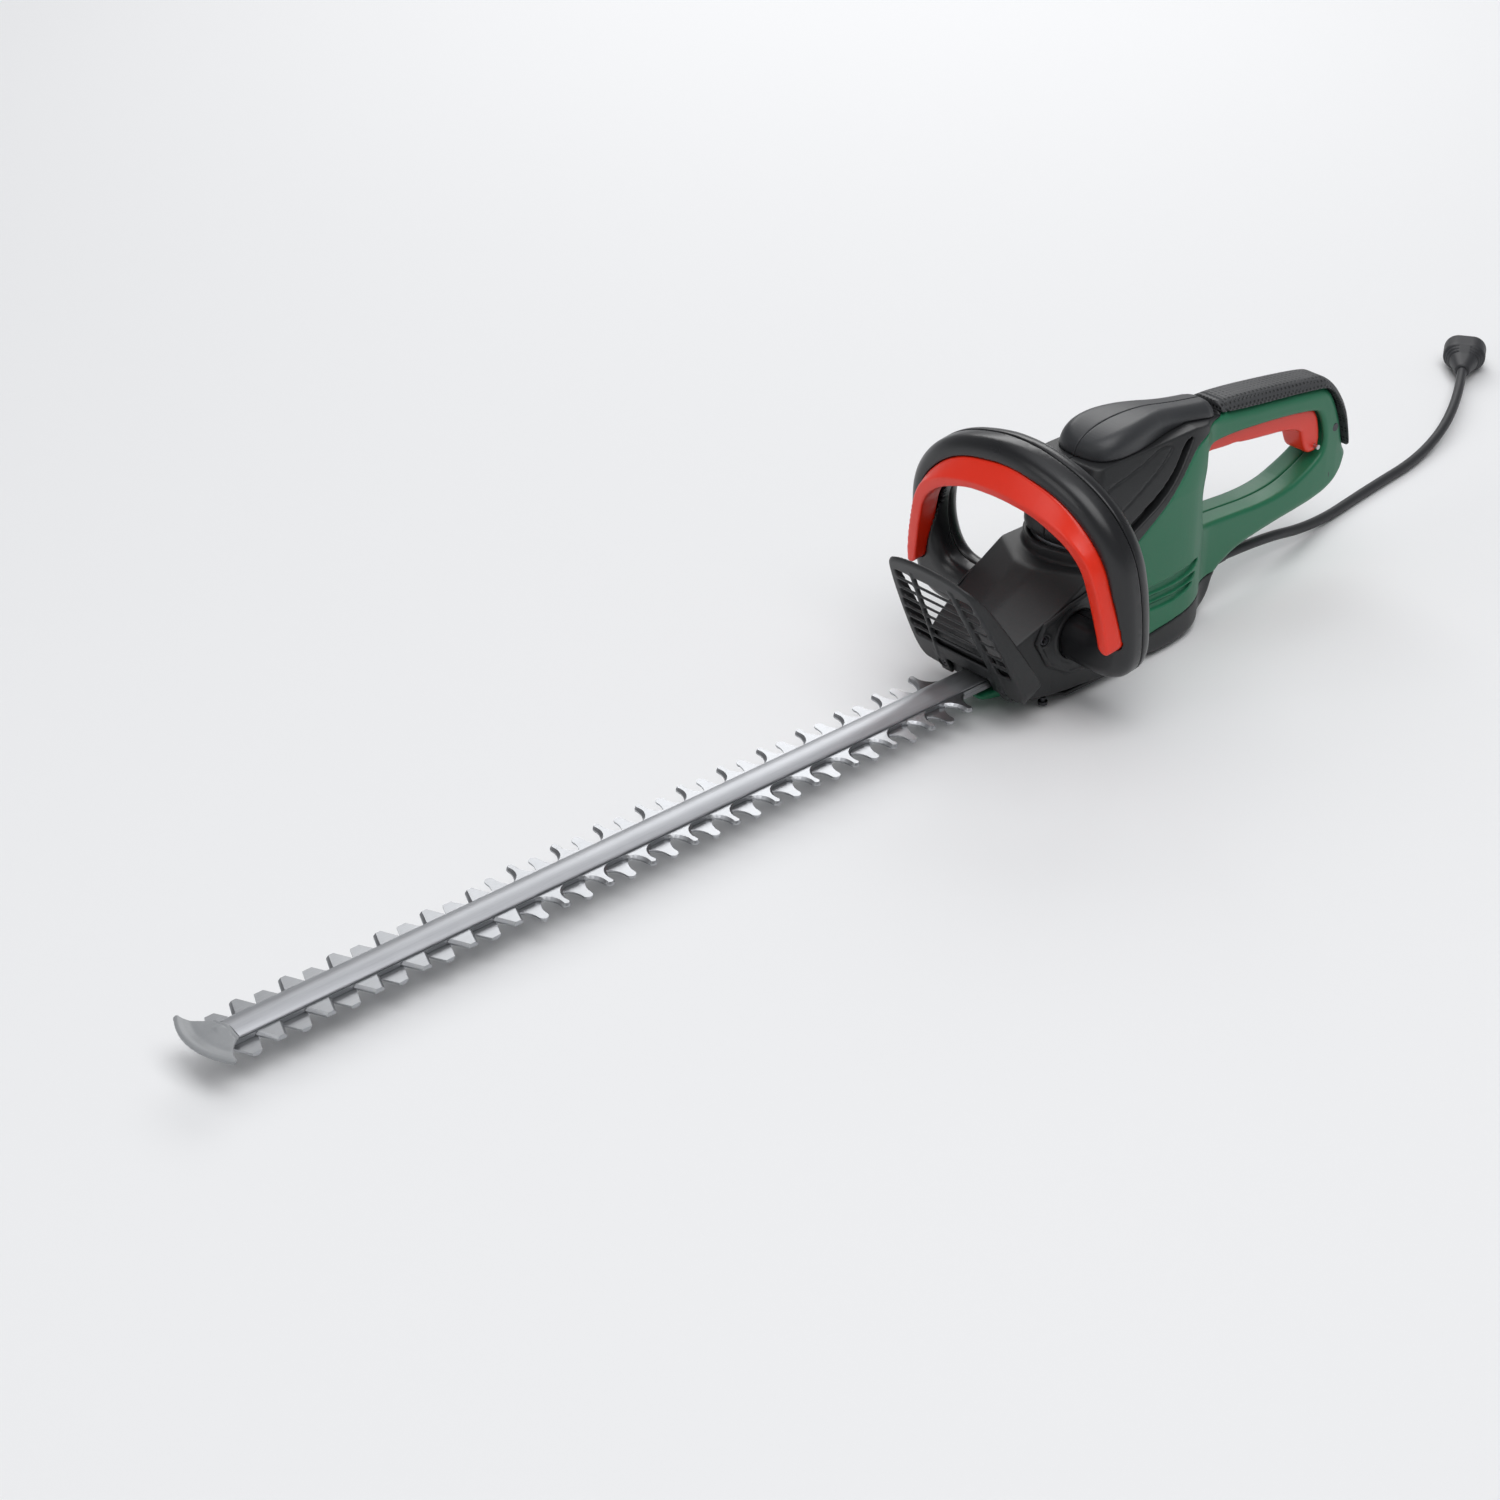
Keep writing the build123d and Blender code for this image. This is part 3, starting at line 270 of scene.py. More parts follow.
def moulded(name, colour, worn, roughness, scale=900.0, wear=0.3, bump=0.35, coat=0.0):
    """Injection-moulded plastic or rubber with a fine grain."""
    material, tree, shader, place = start_material(name)
    grain = place_group(
        tree, GRAIN, place,
        Grain_Scale=scale, Colour=(*colour, 1), Worn_Colour=(*worn, 1), Wear=wear, Roughness=roughness,
    )
    shader.inputs["Specular IOR Level"].default_value = 0.5
    shader.inputs["Coat Weight"].default_value = coat
    shader.inputs["Coat Roughness"].default_value = 0.25
    wire(
        tree,
        (grain.outputs["Colour"], shader.inputs["Base Color"]),
        (grain.outputs["Roughness"], shader.inputs["Roughness"]),
    )
    add_bump(tree, shader, grain.outputs["Height"], bump, 0.0002)
    return material


def metal(name, dark, light, roughness, stretch=(0.02, 1, 1), scale=1400.0):
    """Metal with fine lines along its length."""
    material, tree, shader, place = start_material(name)
    lines = place_group(
        tree, STREAKS, place,
        Line_Scale=scale, Dark=(*dark, 1), Light=(*light, 1), Stretch=stretch, Roughness=roughness,
    )
    shader.inputs["Metallic"].default_value = 1.0
    wire(
        tree,
        (lines.outputs["Colour"], shader.inputs["Base Color"]),
        (lines.outputs["Roughness"], shader.inputs["Roughness"]),
    )
    add_bump(tree, shader, lines.outputs["Height"], 0.15, 0.0001)
    return material


def dotted_grip(name):
    """Soft grip rubber with rows of small hollows, each coloured near black as painted shade."""
    material, tree, shader, place = start_material(name)
    grain = place_group(
        tree, GRAIN, place,
        Grain_Scale=1100.0, Colour=(0.05, 0.052, 0.055, 1), Worn_Colour=(0.1, 0.1, 0.105, 1), Wear=0.3, Roughness=0.5,
    )
    hollow_and_shade = place_group(tree, DOTS, place).outputs["Hollow"]
    # painted shade: the centre of each hollow is coloured near black where shade falls in it
    colour_mix(tree, hollow_and_shade, (0.006, 0.006, 0.007, 1), grain.outputs["Colour"], shader.inputs["Base Color"])
    height = maths(tree, "ADD", maths(tree, "MULTIPLY", grain.outputs["Height"], 0.12), hollow_and_shade)
    wire(tree, (grain.outputs["Roughness"], shader.inputs["Roughness"]))
    add_bump(tree, shader, height, 0.8, 0.0006)
    return material


MATERIALS = {
    "black_plastic": moulded("black_grained_plastic", (0.011, 0.012, 0.013), (0.032, 0.033, 0.036), 0.48),
    "smooth_black": moulded(
        "smooth_black_plastic", (0.012, 0.0125, 0.014), (0.02, 0.021, 0.023), 0.3, 1500.0, 0.2, 0.08
    ),
    "dark_plastic": moulded("dark_satin_plastic", (0.03, 0.032, 0.035), (0.05, 0.052, 0.056), 0.42, 1300.0, 0.2, 0.15),
    "green_plastic": moulded("green_grained_plastic", (0.01, 0.15, 0.07), (0.02, 0.2, 0.1), 0.42, 1000.0, 0.25, 0.25),
    "red_plastic": moulded(
        "red_satin_plastic", (0.82, 0.022, 0.002), (0.86, 0.035, 0.006), 0.34, 1300.0, 0.2, 0.1, 0.15
    ),
    "grip_rubber": dotted_grip("dotted_grip_rubber"),
    "cord_rubber": moulded("cord_rubber", (0.022, 0.023, 0.026), (0.04, 0.041, 0.045), 0.52, 1200.0, 0.2, 0.2),
    "carbon": moulded("dry_carbon", (0.012, 0.012, 0.013), (0.03, 0.03, 0.03), 0.6),
    "blade_steel": metal("ground_blade_steel", (0.27, 0.28, 0.29), (0.5, 0.51, 0.53), 0.36),
    # painted shade: a darker copy of the blade steel for the bevels and side faces, standing in for the dark
    # surroundings they reflect
    "blade_edge_shaded": metal("bevel_steel_painted_shade", (0.1, 0.1, 0.105), (0.2, 0.2, 0.21), 0.3),
    "rail_aluminium": metal("drawn_aluminium", (0.36, 0.37, 0.39), (0.56, 0.57, 0.59), 0.46),
    "cast_tip": moulded("cast_light_metal", (0.27, 0.28, 0.29), (0.36, 0.37, 0.38), 0.38, 800.0, 0.4, 0.3),
    "bolt_steel": metal("blackened_screw_steel", (0.05, 0.05, 0.055), (0.12, 0.12, 0.13), 0.4, (1, 1, 1), 700.0),
    "gear_steel": metal("machined_steel", (0.4, 0.41, 0.43), (0.62, 0.63, 0.65), 0.3, (1, 1, 1), 900.0),
    "lamination_steel": metal("laminated_steel", (0.22, 0.23, 0.25), (0.42, 0.43, 0.45), 0.45, (0.02, 0.02, 1), 1800.0),
    "bracket_aluminium": metal("cast_bracket", (0.5, 0.51, 0.52), (0.66, 0.67, 0.68), 0.45, (1, 1, 1), 500.0),
    "bush_bronze": metal("sintered_bronze", (0.42, 0.28, 0.12), (0.62, 0.45, 0.22), 0.42, (1, 1, 1), 900.0),
    "copper_wire": metal("enamelled_copper", (0.42, 0.15, 0.06), (0.68, 0.3, 0.14), 0.3, (1, 1, 0.02), 1500.0),
    "pin_brass": metal("plated_pin", (0.6, 0.56, 0.45), (0.8, 0.76, 0.62), 0.22, (1, 1, 1), 900.0),
}


# ---------------------------------------------------------------- forms from distance fields, in millimetres
def soften(points, rounds=3):
    """Rounds the corners of a closed outline by cutting them again and again."""
    points = [np.array(p, float) for p in points]
    for _ in range(rounds):
        softer = []
        for a, b in zip(points, points[1:] + points[:1]):
            softer += [0.75 * a + 0.25 * b, 0.25 * a + 0.75 * b]
        points = softer
    return [tuple(p) for p in points]


def mirrored(half):
    """A closed outline from its half: each point (along, across) is set on both sides of across = 0."""
    return list(half) + [(along, -across) for along, across in reversed(half)]


def outline(u, v, points):
    """Distance to a closed outline on the grid (u, v), negative inside."""
    u, v = np.broadcast_arrays(u, v)
    best = np.full(u.shape, 1e9, np.float32)
    inside = np.zeros(u.shape, bool)
    for (x0, y0), (x1, y1) in zip(points, points[1:] + points[:1]):
        ex, ey = x1 - x0, y1 - y0
        if ex == 0 and ey == 0:
            continue
        wx, wy = u - x0, v - y0
        t = np.clip((wx * ex + wy * ey) / (ex * ex + ey * ey), 0, 1)
        best = np.minimum(best, (wx - ex * t) ** 2 + (wy - ey * t) ** 2)
        if ey != 0:
            inside ^= ((y0 > v) != (y1 > v)) & (u < ex * (v - y0) / ey + x0)
    return np.where(inside, -1, 1) * np.sqrt(best)


def meet(a, b, r=0.0):
    """What is inside both forms, with the shared edge rounded to radius r."""
    if r == 0:
        return np.maximum(a, b)
    return np.minimum(-r, np.maximum(a, b)) + np.hypot(np.maximum(a + r, 0), np.maximum(b + r, 0))


def join(a, b, r=0.0):
    """What is inside either form, with a fillet of radius r between them."""
    return -meet(-a, -b, r)


def cut(a, b, r=0.0):
    """What is inside form a but not inside form b."""
    return meet(a, -b, r)


def recess(a, shape, depth):
    """Sinks shape into form a's skin, to a depth."""
    return np.maximum(a, -np.maximum(shape, -a - depth))


def grid(low, high, step):
    """Three axes of evenly spaced places between two corners, shaped to broadcast into a grid."""
    axes = []
    for place, (start, end) in enumerate(zip(low, high)):
        shape = [1, 1, 1]
        shape[place] = -1
        count = int(math.ceil((end - start) / step)) + 1
        axes.append((start + step * np.arange(count, dtype=np.float32)).reshape(shape))
    return axes


def surface_net(field):
    """Vertices (in grid units) and quads of the surface where the field is zero."""
    inside = field < 0
    size = field.shape
    cells = tuple(n - 1 for n in size)

    def corner(array, offset):
        return array[tuple(slice(o, o + n) for o, n in zip(offset, cells))]

    offsets = [(i, j, k) for i in (0, 1) for j in (0, 1) for k in (0, 1)]
    count = sum(corner(inside, o).astype(np.int8) for o in offsets)
    active = np.argwhere((count > 0) & (count < 8))
    total = np.zeros((len(active), 3))
    crossings = np.zeros((len(active), 1))
    for a in offsets:
        for axis in range(3):
            if a[axis]:
                continue
            step = np.eye(3, dtype=int)[axis]
            first = field[tuple((active + a).T)].astype(float)
            second = field[tuple((active + a + step).T)].astype(float)
            hit = (first < 0) != (second < 0)
            share = np.where(hit, first / np.where(hit, first - second, 1), 0)
            total += np.where(hit[:, None], np.array(a) + step * share[:, None], 0)
            crossings += hit[:, None]
    vertices = active + total / crossings
    number = np.full(cells, -1, np.int32)
    number[tuple(active.T)] = np.arange(len(active))
    quads = []
    for axis in range(3):
        before = inside[tuple(slice(0, n - 1) if i == axis else slice(None) for i, n in enumerate(size))]
        after = inside[tuple(slice(1, n) if i == axis else slice(None) for i, n in enumerate(size))]
        edges = np.argwhere(before != after)
        one, two = [i for i in range(3) if i != axis]
        edges = edges[(edges[:, one] > 0) & (edges[:, two] > 0)]
        edges = edges[(edges[:, one] < cells[one]) & (edges[:, two] < cells[two])]
        leaving = before[tuple(edges.T)]
        ring = []
        for back_one, back_two in ((1, 1), (0, 1), (0, 0), (1, 0)):
            place = edges.copy()
            place[:, one] -= back_one
            place[:, two] -= back_two
            ring.append(number[tuple(place.T)])
        ring = np.stack(ring, 1)
        flip = leaving == (axis == 1)
        ring[flip] = ring[flip][:, ::-1]
        quads.append(ring)
    return vertices, np.concatenate(quads)


def settle(vertices, quads, field, rounds=3):
    """Evens out the mesh and sets it back on the surface."""
    slope = np.gradient(field)
    top = np.array(field.shape) - 1.001
    pairs = np.concatenate([quads[:, [0, 1]], quads[:, [1, 2]], quads[:, [2, 3]], quads[:, [3, 0]]])
    pairs = np.concatenate([pairs, pairs[:, ::-1]])

    def read(array, points):
        low = np.floor(points).astype(int)
        part = points - low
        value = 0
        for i in (0, 1):
            for j in (0, 1):
                for k in (0, 1):
                    weight = np.prod(np.where((i, j, k), part, 1 - part), 1)
                    value = value + weight * array[low[:, 0] + i, low[:, 1] + j, low[:, 2] + k]
        return value

    degree = np.bincount(pairs[:, 0], minlength=len(vertices))[:, None]
    for _ in range(rounds):
        mean = np.stack([np.bincount(pairs[:, 0], vertices[pairs[:, 1], i], len(vertices)) for i in range(3)], 1)
        vertices = np.clip(0.5 * vertices + 0.5 * mean / np.maximum(degree, 1), 0, top)
        value = read(field, vertices)
        normal = np.stack([read(s, vertices) for s in slope], 1)
        length = np.maximum((normal**2).sum(1), 0.05)
        vertices = np.clip(vertices - 0.8 * normal * (value / length)[:, None], 0, top)
    return vertices


def to_object(name, vertices, faces):
    """A smooth-shaded object from vertices in metres and faces."""
    mesh = bpy.data.meshes.new(name)
    mesh.from_pydata([tuple(v) for v in vertices], [], [tuple(f) for f in faces])
    mesh.validate()
    mesh.polygons.foreach_set("use_smooth", [True] * len(mesh.polygons))
    mesh.update()
    piece = bpy.data.objects.new(name, mesh)
    bpy.context.collection.objects.link(piece)
    return piece


def dress(piece, slot, body, nodes):
    """Gives a piece the material of its slot, hangs it from its body, and hides the nodes that it stands for."""
    piece.data.materials.clear()
    piece.data.materials.append(MATERIALS[slot])
    if nodes:
        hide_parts(*nodes)
    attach(piece, body)
    return piece


def thin_out(piece, ratio):
    """Takes away faces where the surface is nearly flat."""
    thin = piece.modifiers.new("thin", "DECIMATE")
    thin.ratio = ratio
    bpy.context.view_layer.objects.active = piece
    bpy.ops.object.modifier_apply(modifier=thin.name)
    piece.data.polygons.foreach_set("use_smooth", [True] * len(piece.data.polygons))


def skin(name, field, low, step, slot, body, nodes=(), ratio=0.35, place=None):
    """A piece from a distance field whose grid starts at low. place turns its grid's axes into the row frame."""
    vertices, quads = surface_net(field)
    vertices = settle(vertices, quads, field)
    points = (np.array(low) + vertices * step) * MM
    if place is not None:
        points = points @ np.array(place.to_3x3()).T + np.array(place.translation) * MM
    piece = to_object(name, points, quads)
    if ratio < 1:
        thin_out(piece, ratio)
    return dress(piece, slot, body, nodes)


def from_bmesh(name, mesh, smooth_below=None, angle=35):
    """An object from a bmesh. Faces are smooth where smooth_below says so, with sharp edges past the angle."""
    bmesh.ops.recalc_face_normals(mesh, faces=mesh.faces[:])
    data = bpy.data.meshes.new(name)
    mesh.to_mesh(data)
    piece = bpy.data.objects.new(name, data)
    bpy.context.collection.objects.link(piece)
    if smooth_below is not None:
        for face in data.polygons:
            face.use_smooth = abs(face.normal.x) < smooth_below
        data.set_sharp_from_angle(angle=math.radians(angle))
    return piece


def cross_slot(across, along, reach):
    """The cross in a screw's head."""
    across, along = np.abs(across), np.abs(along)
    return np.minimum(np.maximum(across - 0.6, along - reach), np.maximum(along - 0.6, across - reach))


def other_half(piece, name, slot, body, nodes):
    """The same piece on the other side of the centre plane."""
    twin = bpy.data.objects.new(name, piece.data.copy())
    bpy.context.collection.objects.link(twin)
    twin.data.transform(Matrix.Scale(-1, 4, (0, 1, 0)))
    twin.data.flip_normals()
    return dress(twin, slot, body, nodes)


# ---------------------------------------------------------------- motor body and rear handle
BODY_SIDE = [
    (206, 108), (209, 138), (228, 166), (236, 184), (340, 184), (366, 172), (383, 166), (498, 151), (517, 146), (529, 132),
    (541, 108), (546.5, 90), (551, 83), (555.5, 79), (555, 74), (549, 64), (538, 55.5), (518, 50), (464, 46),
    (419, 40), (403, 34), (391, 28), (386, 12), (374, 1), (345, 0), (262, 0), (262, 108),
]
BODY_PLAN = [
    (204, 0.2), (207, 16), (219, 31), (236, 40.5), (256, 42.6), (325, 41), (352, 33), (366, 20), (386, 17), (560, 17),
]
BODY_FRONT = [(0, 46), (128, 44), (173, 29.5), (200, 22)]
FINGER_GAP = [
    (348, 120), (362, 138), (378, 147), (499, 134), (511, 122), (518, 94), (503, 83), (462, 69),
    (386, 75), (365, 77), (354, 93),
]
HOOD_LINE = [
    (190, 98), (256, 99), (276.7, 112), (290.4, 120.5), (305.3, 131), (316.2, 139.5), (328.8, 151), (338, 158.5),
    (350, 162), (366, 163), (392, 163), (392, 190), (190, 190),
]
BASE_LINE = [(240, -8), (410, -8), (404, 33), (391, 30), (380, 31.5), (336, 26), (262, 20), (240, 18)]
HOOD_SLOT = [
    (336.5, 168), (329.7, 160.7), (322.3, 153.2), (314, 145.2), (304.6, 137.6), (295, 131.8), (282.6, 125.5),
    (268.9, 119), (256, 113), (244, 108), (240, 116), (252, 121), (262.5, 126.5), (273.5, 131.3), (287.3, 137),
    (298.5, 143), (308.7, 150), (316.1, 157), (322, 163.5), (329, 168),
]
LEAF = [
    (311.5, 168), (304, 170), (296, 169), (286, 166), (270, 162), (252, 159), (232, 156), (228, 128), (247, 136),
    (263.5, 143), (279, 149.5), (296, 157), (308.5, 164.5),
]
LOUVRES = (
    [(262, 63.5), (299, 62), (320, 63.5), (346, 66), (345, 60.5), (332, 57.5), (308, 56), (262, 58.5)],
    [(262, 56.8), (309, 54), (342, 56), (341, 51.5), (333, 49.8), (309, 48.8), (262, 51.5)],
    [(262, 49.8), (309, 47.3), (338, 49), (336, 45.5), (327, 43.3), (310, 41), (262, 44.5)],
)
TRIGGER_ROOM = [
    (356, 124), (366, 148), (376, 151), (500, 138), (516, 124), (517, 89), (492, 89), (484, 112), (376, 126),
]
SEAM = 0.15  # half the gap between two mouldings


def body_form(x, y, z):
    """The whole body before it is parted into its mouldings."""
    return meet(outline(x, z, soften(BODY_SIDE)), outline(x, y, soften(mirrored(BODY_PLAN))), 9)


def body_pieces():
    """The black hood and the green shell, each in two halves, with the slot, the leaf line and the louvres."""
    step, low = 1.0, (203, -1.0, -2.0)
    x, y, z = grid(low, (558, 46, 178), step)
    form = meet(body_form(x, y, z), outline(z, y, mirrored(BODY_FRONT)), 8)
    form = cut(form, outline(x, z, soften(FINGER_GAP)), 3.5)
    top = np.interp(x, [230, 340, 383, 400], [172.6, 172.6, 164.5, 260])
    half = meet(meet(form, z - top, 0.8), SEAM - y, 0.6)
    hood_line, base_line = outline(x, z, soften(HOOD_LINE, 2)), outline(x, z, soften(BASE_LINE, 2))

    hood = meet(half, hood_line + SEAM, 0.7)
    hood = recess(hood, outline(x, z, soften(HOOD_SLOT, 2)), 9.0)
    leaf = outline(x, z, soften(LEAF, 3))
    hood = recess(hood, np.abs(leaf) - 0.8, 1.0)
    right = skin("motor_hood_right", hood, low, step, "black_plastic", "trimmer", ["motor_hood_right"])
    other_half(right, "motor_hood_left", "black_plastic", "trimmer", ["motor_hood_left"])

    shell = meet(meet(half, SEAM - hood_line, 0.7), SEAM - base_line, 0.7)
    for louvre in LOUVRES:
        shell = recess(shell, outline(x, z, soften(louvre, 1)), 3.0)
    trigger_room = meet(outline(x, z, soften(TRIGGER_ROOM, 1)), y - 11.7, 1.0)
    shell = cut(shell, trigger_room, 0.6)
    right = skin("motor_shell_right", shell, low, step, "green_plastic", "trimmer", ["motor_shell_right"])
    other_half(right, "motor_shell_left", "green_plastic", "trimmer", ["motor_shell_left"])


def bottom_piece():
    """The black shell under the motor, with the cord's exit."""
    step, low = 1.0, (260, -45.0, -2.0)
    x, y, z = grid(low, (400, 45, 36), step)
    base = meet(body_form(x, y, z), outline(x, z, soften(BASE_LINE, 2)) + SEAM, 0.7)
    cord_exit = meet(np.hypot(y, z - CORD_Z) - 7.0, 366 - x)
    base = cut(base, cord_exit, 0.5)
    skin("bottom_shell", base, low, step, "black_plastic", "trimmer", ["bottom_shell"])


CAP_SIDE = [
    (233, 140), (233, 172), (243, 186), (268, 192.5), (305, 191.5), (340, 183.5), (362, 179.5), (384, 176), (390, 140),
]
CAP_PLAN = [
    (232, 0.2), (234.5, 13), (243, 22.5), (256, 27.5), (275, 28), (296, 24.5), (318, 19.5), (345, 17.5), (383.5, 17.5),
]


def cap_pieces():
    """The cap on the hood, in two halves. Its underside follows the hood's flat top."""
    step, low = 0.8, (230, -1.0, 158.0)
    x, y, z = grid(low, (386, 31, 195), step)
    form = meet(outline(x, z, soften(CAP_SIDE, 3)), outline(x, y, soften(mirrored(CAP_PLAN), 2)), 11)
    bottom = np.interp(x, [230, 340, 383, 400], [172.9, 172.9, 164.8, 161.0])
    half = meet(meet(np.maximum(form, x - 383.0), bottom - z, 0.5), SEAM - y, 0.6)
    right = skin("top_cap_right", half, low, step, "dark_plastic", "trimmer", ["top_cap_right"])
    other_half(right, "top_cap_left", "dark_plastic", "trimmer", ["top_cap_left"])


GRIP_SIDE = [
    (366, 158.5), (498, 143), (512, 138), (520, 128), (531, 100), (535, 86), (543, 82), (552.8, 79.5), (549, 100),
    (543.5, 121), (531, 140.5), (519, 151.5), (506, 158), (366, 178.5),
]


def grip_piece():
    """The soft grip over the top and the rear of the D handle, with a groove round its front end."""
    step, low = 0.9, (382, -19.0, 76.0)
    x, y, z = grid(low, (556, 19, 179), step)
    form = meet(outline(x, z, soften(GRIP_SIDE, 3)), np.abs(y) - 17.6, 11)
    form = cut(form, outline(x, z, soften(BODY_SIDE)) + 0.2, 0.6)
    form = np.maximum(form, 384.6 - x)
    groove = np.abs(x - 390.5) - 0.9
    form = recess(form, groove, 1.2)
    skin("handle_grip", form, low, step, "grip_rubber", "trimmer", ["handle_grip"], 0.5)


TRIGGER_SIDE = [
    (361, 124), (366, 138), (376, 147), (499, 134), (511, 122), (515, 92), (499, 92), (493, 104), (488, 119.5),
    (421, 128), (411, 131), (400, 131), (376, 134), (367, 128.5),
]


def trigger_piece():
    """The long trigger in the D handle and its end that hangs in the rear corner."""
    step, low = 0.8, (358, -13.0, 88.0)
    x, y, z = grid(low, (517, 13, 150), step)
    form = meet(outline(x, z, soften(TRIGGER_SIDE, 2)), np.abs(y) - 11, 2.5)
    skin("rear_trigger", form, low, step, "red_plastic", "trigger", ["rear_trigger"])


# ---------------------------------------------------------------- front handle
def leaning(origin, lean):
    """The frame of a leaning plane: across the tool, up the plane, and rearwards out of it."""
    c, t = math.cos(math.atan(lean)), math.sin(math.atan(lean))
    return Matrix(((0, -t, c, origin[0]), (1, 0, 0, origin[1]), (0, c, t, origin[2]), (0, 0, 0, 1)))


HOUSING_PLAN = [(112, 25), (118, 30), (140, 38), (176, 44), (195, 45), (264, 45)]
BAIL_PLACE = leaning((BAIL_ARM_X, 0, BAIL_ARM_Z), 0.12)
# half outlines in the handle's plane, each from its lower end up to the middle
BAIL_OUT = [
    (40, -17), (80, -19), (98, -13), (107, -1), (110, 20), (110, 60), (104.5, 90), (87, 115.5), (60, 133.5),
    (24, 144), (0, 146),
]
BAIL_IN = [(40, 17), (66, 17), (78, 24), (83.5, 42), (83, 60), (79, 77), (66, 94), (46, 107), (18, 115), (0, 116)]
BAR_INNER = [
    (95, -20), (93, 20), (88.5, 43), (84.5, 61), (78.5, 81.5), (65, 94.5), (49, 102), (33.5, 107.3), (20, 109.2),
    (0, 110.3),
]
BAR_CREASE = [
    (102, -20), (101.5, 18), (99.5, 38), (95.5, 57), (91, 75), (84, 90), (73.5, 98.7), (57, 107), (28.6, 114), (0, 116),
]
BAR_OUTER = [
    (105, -20), (104.5, 16), (102.8, 36), (98, 58), (91, 86.5), (72.5, 108.5), (47.6, 124), (16, 130.5), (0, 132),
]


def both_sides(half):
    """A closed outline (across, up) from its half on the right, which ends in the middle."""
    return half + [(-across, up) for across, up in reversed(half[:-1])]


def area_under(s, v, half, rounds=3):
    """Distance to the area under a line that is the same on both sides and closed below."""
    return outline(s, v, soften(both_sides(half), rounds))


def in_row_frame(place, v, w):
    """Where a leaning plane's grid lies along the tool and above the ground."""
    turn, start = place.to_3x3(), place.translation
    return start.x + turn[0][1] * v + turn[0][2] * w, start.z + turn[2][1] * v + turn[2][2] * w


def bail_pieces():
    """The round front handle in a front and a rear moulding, and the creased red switch bar on its face."""
    step, low = 1.1, (-112, -24.0, -30.0)
    s, v, w = grid(low, (112, 149, 19), step)
    outer, inner = area_under(s, v, BAIL_OUT), area_under(s, v, BAIL_IN)
    ring = meet(meet(meet(outer, w - 17, 13.5), -17 - w, 12), -inner, 12)
    along, up = in_row_frame(BAIL_PLACE, v, w)
    housing = np.maximum(outline(along, s, mirrored(HOUSING_PLAN)), up - 110)
    ring = meet(ring, 0.4 - housing, 0.3)

    bar_out, bar_in = area_under(s, v, BAR_OUTER, 2), area_under(s, v, BAR_INNER, 2)
    crease = area_under(s, v, BAR_CREASE, 2)
    bar_band = meet(meet(bar_out, -bar_in, 1.5), 17 - v, 6)
    share = np.maximum(-bar_out, 0) / (np.maximum(-bar_out, 0) + np.maximum(crease, 0) + 0.3)
    front_face = (-w - 17.5 - 10.5 * share) * 0.8
    bar = meet(bar_band, meet(front_face, w + 9), 0.9)

    rear = meet(ring, 2 + SEAM - w, 0.6)
    front = cut(meet(ring, w - 2 + SEAM, 0.6), meet(bar_band - 0.5, w + 4.5), 0.4)
    for name, form in (("front_handle_rear", rear), ("front_handle_front", front)):
        moulding = skin(name, form, low, step, "black_plastic", "trimmer", [name], 0.3, BAIL_PLACE)
        moulding.data.materials[0] = MATERIALS["smooth_black"]
    skin("front_switch_bar", bar, low, step, "red_plastic", "switch_bar", ["front_switch_bar"], 0.4, BAIL_PLACE)


# ---------------------------------------------------------------- hand guard
GUARD_PLACE = leaning((138.5, 0, 25.5), 0.51)
GUARD_HALF = [(44, -7), (53, -3), (56, 12), (53.5, 45), (49.5, 76), (45, 101), (41, 112), (26, 118.5), (0, 121)]
WING = [(84, 134), (97, 121), (113, 99), (153.8, 36), (160.7, 26), (153, 22), (146, 20.5), (136, 12), (128, 12)]
GUARD_SCREW_S, GUARD_SCREW_V = 30, -1
SLOT_ROWS, TOP_SLOT_V, SLOT_PITCH = 7, 97, 11.8


def rib_place(v):
    """How far the two upright ribs stand from the middle. They spread towards the foot."""
    return 19.7 + (104.3 - v) * 0.124


